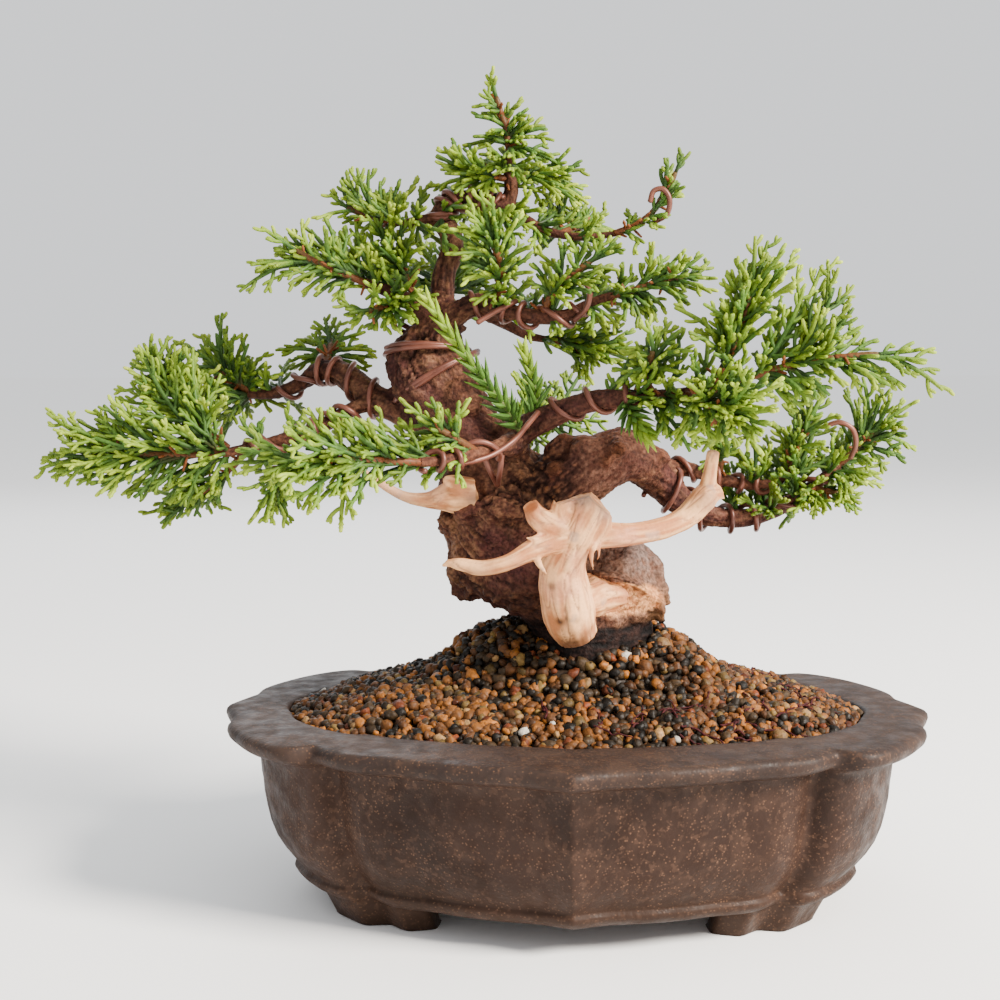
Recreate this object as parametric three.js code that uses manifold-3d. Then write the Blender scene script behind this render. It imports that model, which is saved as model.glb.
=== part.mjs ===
// A juniper bonsai in a lobed stoneware pot, in millimetres, +Z up, the pot's long side along X.
// The front is towards -Y. The origin is under the middle of the whole thing, on the ground.
import * as THREE from "three";
import { mergeVertices } from "three/addons/utils/BufferGeometryUtils.js";
import Module from "manifold-3d";

const wasm = await Module();
wasm.setup();

// ---- Driving dimensions --------------------------------------------------------------------
const POT_HALF_LENGTH = 100; // to the pointed ends
const POT_HALF_DEPTH = 76; // to the points in the middle of the long sides
const RIM_TOP = 51.5;
const UNDERSIDE = 8; // height of the pot's underside, carried by the feet
const FLOOR_TOP = 15; // height of the floor inside the pot
const MOUTH_HALF_LENGTH = 83;
const MOUTH_HALF_DEPTH = 51;
const MOUTH_ROUNDING = 0.5; // 0 follows the lobes, 1 is a plain oval
const INNER_TAPER = 0.8; // the inside at the floor against the inside at the mouth
const DRAIN_X = 35; // each drainage hole from the middle
const DRAIN_RADIUS = 8;
const MESH_SIZE = 26;
const MESH_THICKNESS = 1;
const MESH_HOLES = 2; // along each side of a mesh square
const MESH_HOLE_SIZE = 9;
const TIE_WIRE_RADIUS = 0.75;
const TIE_WIRE_TOP = 54;

const SOIL_EDGE = 49; // height of the soil at the pot's wall
const SOIL_RINGS = 9;
const SOIL_CENTRE = 72; // height of the soil inside the trunk
const FRONT_DIP = 7; // how much lower the mound is in front of the trunk
const GRAIN_RELIEF = 2; // how far the grains stand out of the mound or lie below it

const WIRE_RADIUS = 0.9; // the training wire
const WIRE_SIDES = 4;
const STEPS_PER_TURN = 6;
const CLEARANCE = 0.3; // between neighbours that touch
const WIRE_CLEARANCE = 0.6; // between a coil and its branch

const CORD_RADIUS = 1.0; // a cord of scale leaves
const PAIR_SPACING = 17; // of frond for each pair of side shoots
const SHOOT_ANGLE = THREE.MathUtils.degToRad(38);
const SHOOT_SHARE = 0.46; // of the frond's length, for the lowest side shoot
const LONGEST_SHOOT = 13;
const LOWEST_PAIR = 0.15; // along a frond
const HIGHEST_PAIR = 0.85;
const LEAF_TWIST = THREE.MathUtils.degToRad(50); // from one pair of young leaves to the next
const YOUNG_STEM_RADIUS = 0.9;
const GROWN_REACH = 1.15; // of the room round a shoot against the shoot

// The tree is described as it is seen from the front. A point is [x, z, y]: x and z as they
// appear on the pot's middle plane, and y is the real depth, with the point on that line of sight.
const EYE = new THREE.Vector3(0.5, -433, 145);

function seen([x, z, y]) {
  const reach = (y - EYE.y) / -EYE.y;
  return new THREE.Vector3(EYE.x + (x - EYE.x) * reach, y, EYE.z + (z - EYE.z) * reach);
}

// A fixed draw between 0 and 1 for a pair of numbers.
function draw(a, b) {
  const v = Math.sin(a * 12.9898 + b * 78.233) * 43758.5453;
  return v - Math.floor(v);
}

// ---- Solids --------------------------------------------------------------------------------
function solid(geometry) {
  const bare = geometry.index && !geometry.attributes.uv ? geometry : welded(geometry);
  const mesh = new wasm.Mesh({
    numProp: 3,
    vertProperties: new Float32Array(bare.attributes.position.array),
    triVerts: new Uint32Array(bare.index.array),
  });
  return new wasm.Manifold(mesh);
}

function welded(geometry) {
  geometry.deleteAttribute("normal");
  geometry.deleteAttribute("uv");
  return mergeVertices(geometry, 1e-4);
}

function joined(solids) {
  return wasm.Manifold.union(solids);
}

// The largest of the bodies that a cut leaves, without the loose scraps.
function largest(piece) {
  const bodies = piece.decompose();
  return bodies.reduce((a, b) => (b.volume() > a.volume() ? b : a));
}

function toGeometry(piece) {
  const { vertProperties, triVerts, numProp } = piece.getMesh();
  const geometry = new THREE.BufferGeometry();
  const places = new Float32Array((vertProperties.length / numProp) * 3);
  for (let i = 0; i < places.length / 3; i++) {
    places.set(vertProperties.subarray(i * numProp, i * numProp + 3), i * 3);
  }
  geometry.setAttribute("position", new THREE.BufferAttribute(places, 3));
  geometry.setIndex(new THREE.BufferAttribute(new Uint32Array(triVerts), 1));
  geometry.computeVertexNormals();
  return geometry;
}

// A closed skin over rings of equally many points, each ring counter-clockwise seen from the
// last one, with a fan to a middle point at each end.
function skin(rings, firstMiddle, lastMiddle) {
  const n = rings[0].length;
  const points = rings.flat();
  const faces = [];
  for (let i = 0; i + 1 < rings.length; i++) {
    for (let k = 0; k < n; k++) {
      const a = i * n + k;
      const b = i * n + ((k + 1) % n);
      faces.push(a, b, b + n, a, b + n, a + n);
    }
  }
  const first = points.push(firstMiddle) - 1;
  const last = points.push(lastMiddle) - 1;
  const top = (rings.length - 1) * n;
  for (let k = 0; k < n; k++) {
    const next = (k + 1) % n;
    faces.push(first, next, k, last, top + k, top + next);
  }
  const geometry = new THREE.BufferGeometry();
  geometry.setAttribute("position", new THREE.Float32BufferAttribute(points.flatMap((p) => p.toArray()), 3));
  geometry.setIndex(faces);
  return geometry;
}

// A limb round a path of { at, r }, with its rings square to the path. It ends in a point where
// the last r is 0.
function limb(path, sides, grow = 0) {
  const rings = [];
  let across = null;
  const end = path[path.length - 1];
  const beyond = end.at.clone().sub(path[path.length - 2].at).setLength(0.3 + grow).add(end.at);
  path.forEach(({ at, r }, i) => {
    if (r === 0) return;
    const before = path[Math.max(i - 1, 0)].at;
    const after = path[Math.min(i + 1, path.length - 1)].at;
    const along = after.clone().sub(before).normalize();
    if (!across) {
      across = new THREE.Vector3(0, 0, 1).cross(along);
      if (across.length() < 0.3) across = new THREE.Vector3(1, 0, 0).cross(along);
    }
    across.addScaledVector(along, -across.dot(along)).normalize();
    const up = along.clone().cross(across);
    const ring = [];
    for (let k = 0; k < sides; k++) {
      const turn = (k / sides) * 2 * Math.PI;
      const out = across.clone().multiplyScalar(Math.cos(turn)).addScaledVector(up, Math.sin(turn));
      ring.push(at.clone().addScaledVector(out, r + grow));
    }
    rings.push(ring);
  });
  return solid(skin(rings, path[0].at.clone(), beyond));
}

// The path through hand-set places [x, z, y, radius].
function pathThrough(places) {
  return places.map(([x, z, y, r]) => ({ at: seen([x, z, y]), r }));
}

function knob([x, z, y], radii, detail = 0, grow = 0) {
  const ball = new THREE.IcosahedronGeometry(1, detail);
  ball.scale(radii[0] + grow, radii[1] + grow, radii[2] + grow);
  const at = seen([x, z, y]);
  ball.translate(at.x, at.y, at.z);
  return solid(ball);
}

// ---- Pot -----------------------------------------------------------------------------------
// A quarter of the rim's outline, from the pointed end over the corner lobe and the long lobe
// to the point in the middle of the long side.
const RIM_QUARTER = [
  [100, 0], [97.3, 8], [94.6, 15], [94, 25], [88, 37.5], [81.3, 46.5], [73.6, 52], [66.3, 49.7],
  [61, 56], [54.5, 59.6], [45.5, 61.4], [36.4, 64.6], [22, 69], [9, 73], [0, 76],
];

function rimOutline() {
  const last = RIM_QUARTER.length - 1;
  const ring = [];
  for (let i = 0; i < last; i++) ring.push([RIM_QUARTER[i][0], RIM_QUARTER[i][1]]);
  for (let i = last; i > 0; i--) ring.push([-RIM_QUARTER[i][0], RIM_QUARTER[i][1]]);
  for (let i = 0; i < last; i++) ring.push([-RIM_QUARTER[i][0], -RIM_QUARTER[i][1]]);
  for (let i = last; i > 0; i--) ring.push([RIM_QUARTER[i][0], -RIM_QUARTER[i][1]]);
  return ring;
}

const OUTLINE = rimOutline();

const FOOT_CORNERS = [[37, 34], [38, 43], [46, 45], [51, 39.5], [58, 41], [68, 30], [61, 24], [50, 31]];
const FOOT_SINK = 1; // of a foot into the pot's underside
const FOOT_DRAW_IN = [0.955, 0.93]; // of a foot's x and y where it stands

function outerRing(z, scale) {
  return OUTLINE.map(([x, y]) => new THREE.Vector3(x * scale, y * scale, z));
}

function innerRing(z, scale, inset = 0) {
  return OUTLINE.map(([x, y]) => {
    const lobed = new THREE.Vector2(
      (x * MOUTH_HALF_LENGTH) / POT_HALF_LENGTH, (y * MOUTH_HALF_DEPTH) / POT_HALF_DEPTH);
    const turn = Math.atan2(y, x);
    const oval = 1 / Math.hypot(Math.cos(turn) / MOUTH_HALF_LENGTH, Math.sin(turn) / MOUTH_HALF_DEPTH);
    const plain = new THREE.Vector2(Math.cos(turn) * oval, Math.sin(turn) * oval);
    const p = lobed.lerp(plain, MOUTH_ROUNDING).multiplyScalar(scale);
    p.multiplyScalar((p.length() - inset) / p.length());
    return new THREE.Vector3(p.x, p.y, z);
  });
}

// A bracket foot round one corner. sideX and sideY are 1 or -1 and say which corner.
function foot(sideX, sideY) {
  const outline = FOOT_CORNERS.map(([x, y]) => new THREE.Vector2(sideX * x, sideY * y));
  const height = UNDERSIDE + FOOT_SINK;
  const block = new THREE.ExtrudeGeometry(new THREE.Shape(outline), { depth: height, bevelEnabled: false });
  const places = block.attributes.position;
  for (let i = 0; i < places.count; i++) {
    if (places.getZ(i) > 0) continue;
    places.setXY(i, places.getX(i) * FOOT_DRAW_IN[0], places.getY(i) * FOOT_DRAW_IN[1]);
  }
  return solid(block);
}

function makePot() {
  const walls = skin(
    [
      outerRing(UNDERSIDE, 0.79), outerRing(11, 0.818), outerRing(12, 0.805), outerRing(20, 0.868),
      outerRing(32, 0.9), outerRing(45, 0.91), outerRing(46.4, 0.98), outerRing(49.5, 1),
      outerRing(RIM_TOP, 0.975), innerRing(RIM_TOP, 1), innerRing(FLOOR_TOP, INNER_TAPER),
    ],
    new THREE.Vector3(0, 0, UNDERSIDE),
    new THREE.Vector3(0, 0, FLOOR_TOP),
  );
  let pot = solid(walls);
  const feet = [[1, 1], [-1, 1], [1, -1], [-1, -1]].map(([sideX, sideY]) => foot(sideX, sideY));
  pot = joined([pot, ...feet]);
  for (const side of [-1, 1]) {
    const hole = new THREE.CylinderGeometry(DRAIN_RADIUS, DRAIN_RADIUS, 3 * FLOOR_TOP, 16);
    hole.rotateX(Math.PI / 2);
    hole.translate(side * DRAIN_X, 0, UNDERSIDE);
    pot = pot.subtract(solid(hole));
  }
  return pot;
}

// The square of mesh that keeps the soil in over a drainage hole.
function makeDrainMesh(side, grow = 0) {
  const size = MESH_SIZE + 2 * grow;
  const plate = new THREE.BoxGeometry(size, size, MESH_THICKNESS + 2 * grow);
  const height = FLOOR_TOP + CLEARANCE + MESH_THICKNESS / 2;
  plate.translate(side * DRAIN_X, 0, height);
  let mesh = solid(plate);
  if (grow > 0) return mesh;
  const pitch = MESH_SIZE / MESH_HOLES;
  for (let i = 0; i < MESH_HOLES; i++) {
    for (let k = 0; k < MESH_HOLES; k++) {
      const hole = new THREE.BoxGeometry(MESH_HOLE_SIZE, MESH_HOLE_SIZE, 4 * MESH_THICKNESS);
      const middle = (MESH_HOLES - 1) / 2;
      hole.translate(side * DRAIN_X + (i - middle) * pitch, (k - middle) * pitch, height);
      mesh = mesh.subtract(solid(hole));
    }
  }
  return mesh;
}

// The wire under the pot's floor, up through both holes and in against the root base.
function makeTieWire(grow = 0) {
  const low = UNDERSIDE - TIE_WIRE_RADIUS - CLEARANCE;
  const half = [
    [DRAIN_X - 4, low], [DRAIN_X - 0.6, low + 1], [DRAIN_X, low + 5], [DRAIN_X, 24], [DRAIN_X - 2, 32],
    [DRAIN_X - 7, 44], [DRAIN_X - 9, TIE_WIRE_TOP],
  ];
  const ends = half.map(([x, z]) => ({ at: new THREE.Vector3(x, 0, z), r: TIE_WIRE_RADIUS }));
  const mirrored = ends.map(({ at, r }) => ({ at: new THREE.Vector3(-at.x, 0, at.z), r }));
  return limb([...mirrored.reverse(), ...ends], 6, grow);
}

// ---- Soil ----------------------------------------------------------------------------------
// Height of the mound, by how far out a place is: 0 at the trunk, 1 at the pot's wall.
const MOUND = [
  [0, 75], [0.25, 74.5], [0.38, 70.5], [0.45, 65.5], [0.54, 61.5], [0.7, 57.5], [0.85, 54], [1, SOIL_EDGE],
];

function moundHeight(out, frontness) {
  let i = 1;
  while (i < MOUND.length - 1 && MOUND[i][0] < out) i++;
  const [near, high] = MOUND[i - 1];
  const [far, low] = MOUND[i];
  const height = THREE.MathUtils.lerp(high, low, (out - near) / (far - near));
  return height - FRONT_DIP * Math.max(frontness, 0) * (1 - out);
}

function makeSoil() {
  const rise = (SOIL_EDGE - FLOOR_TOP) / (RIM_TOP - FLOOR_TOP);
  const edgeScale = THREE.MathUtils.lerp(INNER_TAPER, 1, rise);
  const bottom = FLOOR_TOP + CLEARANCE;
  const rings = [innerRing(bottom, INNER_TAPER, CLEARANCE), innerRing(SOIL_EDGE, edgeScale, CLEARANCE)];
  for (let i = 1; i < SOIL_RINGS; i++) {
    const out = 1 - i / SOIL_RINGS;
    rings.push(
      innerRing(0, edgeScale * out, CLEARANCE * out).map((p, k) => {
        const frontness = -p.y / Math.hypot(p.x, p.y);
        const relief = GRAIN_RELIEF * (draw(i, k) + ((i + k) % 2) - 1);
        return new THREE.Vector3(p.x, p.y, moundHeight(out, frontness) + relief);
      }),
    );
  }
  return solid(skin(rings, new THREE.Vector3(0, 0, bottom), new THREE.Vector3(0, 0, SOIL_CENTRE)));
}

// ---- Living wood ---------------------------------------------------------------------------
// Level sections of the trunk: [height, x, y, half width, half depth].
const TRUNK = [
  [50, 6, 0, 24, 22], [58, 5, 0, 20, 19], [66, 5, 0, 18, 17], [74, 4, 0, 17.5, 17], [80, 0, 0, 19.5, 18],
  [86, -7, 1, 24.5, 20], [92, -10.5, 2, 23.5, 21], [99, -14, 3, 22, 20.5], [106, -17, 4, 21, 19],
  [113, -20, 4, 18.5, 17.5], [120, -23, 4, 15.5, 15.5], [127, -28, 3, 14, 14],
  [134, -34, 1, 13.5, 13], [141, -38.5, 0, 13.5, 12.5], [148, -40.5, 0, 12.3, 11.5],
  [154, -40.5, 0, 10.5, 10], [159, -39, 0, 7.5, 7.5], [164, -37, 1, 4.5, 4.5],
];
const TRUNK_SIDES = 12;

function makeTrunk(grow) {
  const rings = TRUNK.map(([z, x, y, halfWidth, halfDepth]) => {
    const ring = [];
    for (let k = 0; k < TRUNK_SIDES; k++) {
      const turn = (k / TRUNK_SIDES) * 2 * Math.PI;
      const lumps = 1 + 0.05 * Math.sin(3 * turn + 0.19 * z) + 0.04 * Math.sin(5 * turn - 0.31 * z);
      ring.push(
        new THREE.Vector3(
          x + Math.cos(turn) * (halfWidth * lumps + grow),
          y + Math.sin(turn) * (halfDepth * lumps + grow), z),
      );
    }
    return ring;
  });
  const [bottom, top] = [TRUNK[0], TRUNK[TRUNK.length - 1]];
  return solid(skin(
    rings, new THREE.Vector3(bottom[1], bottom[2], bottom[0] - grow),
    new THREE.Vector3(top[1], top[2], top[0] + 2 + grow)));
}

// Each branch as places [x, z, y, radius], from inside what it grows from to its end.
const BRANCHES = {
  leader: [
    [-37.5, 158, 0, 5.5], [-37, 166, 2, 4.2], [-36, 174, 3, 3.7], [-34, 180, 4, 3.5], [-34.5, 185, 4, 3.4],
    [-37, 189, 3, 3.3], [-34.5, 193, 2, 3.3], [-29, 194.5, 1, 3.2], [-23.5, 193, 1, 3.2], [-20, 191.5, 1, 3],
    [-17.5, 196, 2, 2.8], [-18, 202, 2, 2.4], [-18, 208, 2, 1.8],
  ],
  right: [
    [-12, 112, 0, 10], [-2, 116, -2, 9.5], [7, 120.5, -3, 9], [14, 123, -2, 8], [19.5, 120, 2, 6.4],
    [25, 115, 6, 5.2], [30, 110, 8, 4.6], [36, 106.5, 10, 4], [44, 105, 12, 3.7], [52, 106, 14, 3.3],
    [60, 109.5, 16, 3], [67, 114.5, 18, 2.6], [74, 120, 20, 2.1],
  ],
  right_upper: [
    [17, 121, 3, 4], [25, 119.5, 8, 3], [33, 118.5, 11, 2.7], [42, 116, 13, 2.5], [51, 114.5, 14, 2.2],
    [60, 116, 14, 2],
  ],
  left: [
    [-34, 133, 0, 7], [-42, 133.5, 0, 5.6], [-49, 135.5, 2, 4.7], [-56, 139, 4, 4.3],
    [-62, 143.5, 6, 4.1], [-67, 146.5, 8, 3.9], [-72, 146.5, 10, 3.6], [-77, 143, 12, 3],
    [-84, 140.5, 14, 2.6], [-92, 140, 16, 2.1],
  ],
  left_low: [
    [-54, 138, 3, 3.4], [-61, 136.5, 0, 3], [-67, 133.5, -3, 2.8], [-74, 130, -6, 2.6], [-83, 127, -8, 2.4],
    [-92, 125, -9, 2.1], [-100, 123.5, -9, 1.8],
  ],
  front_left: [
    [-16, 126, -6, 4.5], [-18, 126, -20, 3.6], [-22, 125, -31, 2.9], [-29, 123, -41, 2.5],
    [-37, 121.5, -48, 2.2], [-44, 121, -53, 1.9],
  ],
  front_right: [
    [-18, 128, -4, 5], [-11, 131.5, -15, 4], [-3, 135.5, -20, 3.6], [5, 138, -24, 3.3], [14, 139, -28, 3],
    [26, 139.5, -32, 2.7], [38, 141.5, -36, 2.4], [50, 145, -38, 2],
  ],
  upper_right: [
    [-38, 159, 0, 4.8], [-31, 163.5, -3, 3.8], [-25, 165, -5, 3.4], [-18, 163, -7, 3], [-10, 161.5, -8, 2.8],
    [-2, 162, -8, 2.6], [4, 165, -8, 2.2], [11, 167.5, -8, 1.9],
  ],
  under_right: [[-25, 163, -4, 2.8], [-18, 159, 1, 2.3], [-12, 156, 5, 2], [-5, 155, 7, 1.7]],
  upper_left: [[-38, 160, 0, 4.4], [-44, 165, -2, 3.2], [-51, 168.5, -4, 2.6], [-59, 171.5, -6, 2]],
  crown_left: [[-36, 188, 3, 3], [-42, 188.5, 1, 2.3], [-48, 187.5, 0, 1.7]],
  crown_right: [
    [-21, 192, 1, 2.8], [-14, 188.5, 0, 2.2], [-7, 185, -2, 2], [3, 183.5, -3, 1.8], [12, 184.5, -4, 1.6],
  ],
  back: [[-24, 124, 6, 6], [-19, 127, 20, 3.8], [-14, 130, 29, 3], [-8, 132.5, 37, 2.2]],
  back_high: [[-39, 154, 2, 5], [-38, 161, 12, 3.4], [-36, 166, 20, 2.6], [-35, 169, 27, 2]],
};
const BRANCH_SIDES = 5;

// Swellings, cut stubs and burrs on the wood: [place, half sizes, finer].
const KNOBS = [
  [[11.5, 86.5, -2], [14.5, 14, 14], 1],
  [[-29, 90, 2], [6, 8, 7], 1],
  [[-32, 104, -2], [7, 6, 5], 1],
  [[2, 124, -8], [4, 3.5, 4], 0],
  [[12.5, 125, -9], [4, 3.5, 4], 0],
  [[-4, 125, -4], [4.5, 3.5, 4], 0],
  [[-46, 142, -8], [5, 4, 6], 0],
  [[-20, 108, -14], [7, 5, 6], 1],
  [[-31, 139, -9], [6, 5, 6], 0],
];

function makeWood(grow = 0) {
  const pieces = [makeTrunk(grow)];
  for (const places of Object.values(BRANCHES)) pieces.push(limb(pathThrough(places), BRANCH_SIDES, grow));
  for (const [at, halfSizes, detail] of KNOBS) pieces.push(knob(at, halfSizes, detail, grow));
  return joined(pieces);
}

// ---- Deadwood ------------------------------------------------------------------------------
const DEADWOOD_FRONT = {
  foot: [
    [1, 72, -22, 5.5], [-1, 77, -25, 7], [-2.5, 84, -28, 7], [-3, 91, -31, 6.2], [-1, 97, -34, 5.2],
    [2, 103, -35, 5.6], [4, 108, -34, 5.2], [4, 112, -33, 2.5],
  ],
  left_arm: [
    [0, 100, -35, 4], [-7, 98, -38, 3.2], [-13, 95.5, -40, 2.6], [-19, 92.5, -41, 2.2], [-26, 91, -40, 2],
    [-32, 92, -39, 1.7], [-36, 92.5, -38, 0.8],
  ],
  upper_stub: [[1, 101, -35, 4], [-5, 102.5, -37, 3.6], [-10, 105.5, -38, 3], [-12.5, 109.5, -37, 2]],
  right_arm: [
    [3, 101, -34, 4.2], [10, 100.5, -33, 3.6], [18, 101, -31, 3], [26, 102.8, -29, 3], [32, 106, -27, 3.2],
    [37, 111.5, -26, 3.6], [41, 113, -25, 1.8],
  ],
  right_stub: [[37, 110.5, -26, 3.2], [38, 117, -26, 2], [39, 124, -26, 1.7]],
};
const BARE_PATCHES = [[[3, 78, -18.5], [7, 6, 5]], [[13, 81.5, -13], [10.5, 6, 6.5]]];
const DEADWOOD_LEFT = {
  wedge: [
    [-29, 111, -12, 5], [-35, 111, -14, 4.4], [-41, 110.5, -15, 3], [-47, 111, -16, 1.9],
    [-53, 114, -17, 1.4], [-61, 119.5, -18, 0.8],
  ],
};

function makeDeadwood(limbs, patches, grow = 0) {
  const pieces = Object.values(limbs).map((places) => limb(pathThrough(places), BRANCH_SIDES, grow));
  for (const [at, halfSizes] of patches) pieces.push(knob(at, halfSizes, 1, grow));
  return joined(pieces);
}

// ---- Training wires ------------------------------------------------------------------------
// Each wire: what it is wound round, from where to where along that (0 to 1), its turns and the
// angle at which it starts.
const TRUNK_TOP = [[-37.5, 143, 0, 13.8], [-40, 149, 0, 13], [-40.5, 155, 0, 11.2], [-38.5, 161, 0, 8.4]];
const WIRES = {
  wire_trunk: { round: TRUNK_TOP, from: 0.1, to: 0.75, turns: 2, start: 2.5 },
  wire_left: { round: BRANCHES.left, from: 0.28, to: 0.86, turns: 5, start: 0 },
  wire_left_low: { round: BRANCHES.left_low, from: 0.2, to: 0.85, turns: 4, start: 1 },
  wire_front_left: { round: BRANCHES.front_left, from: 0.42, to: 0.95, turns: 2, start: 2 },
  wire_front_right: { round: BRANCHES.front_right, from: 0.24, to: 0.62, turns: 3, start: 0.5 },
  wire_right: { round: BRANCHES.right, from: 0.4, to: 0.94, turns: 6, start: 0 },
  wire_right_upper: { round: BRANCHES.right_upper, from: 0.3, to: 0.9, turns: 3, start: 1 },
  wire_upper_right: { round: BRANCHES.upper_right, from: 0.22, to: 0.88, turns: 4, start: 3 },
  wire_crown: { round: BRANCHES.leader, from: 0.4, to: 0.72, turns: 3, start: 0 },
};

function makeWire({ round, from, to, turns, start }, grow = 0) {
  const path = pathThrough(round);
  const steps = turns * STEPS_PER_TURN;
  const points = [];
  for (let i = 0; i <= steps; i++) {
    const place = (from + ((to - from) * i) / steps) * (path.length - 1);
    const low = Math.min(Math.floor(place), path.length - 2);
    const at = path[low].at.clone().lerp(path[low + 1].at, place - low);
    const along = path[low + 1].at.clone().sub(path[low].at).normalize();
    const across = new THREE.Vector3(0, 1, 0).cross(along).normalize();
    const up = along.clone().cross(across);
    const turn = start + (i / STEPS_PER_TURN) * 2 * Math.PI;
    const gap = path[low].r + WIRE_RADIUS + WIRE_CLEARANCE;
    at.addScaledVector(across, Math.cos(turn) * gap).addScaledVector(up, Math.sin(turn) * gap);
    points.push({ at, r: WIRE_RADIUS });
  }
  return limb(points, WIRE_SIDES, grow);
}

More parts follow.
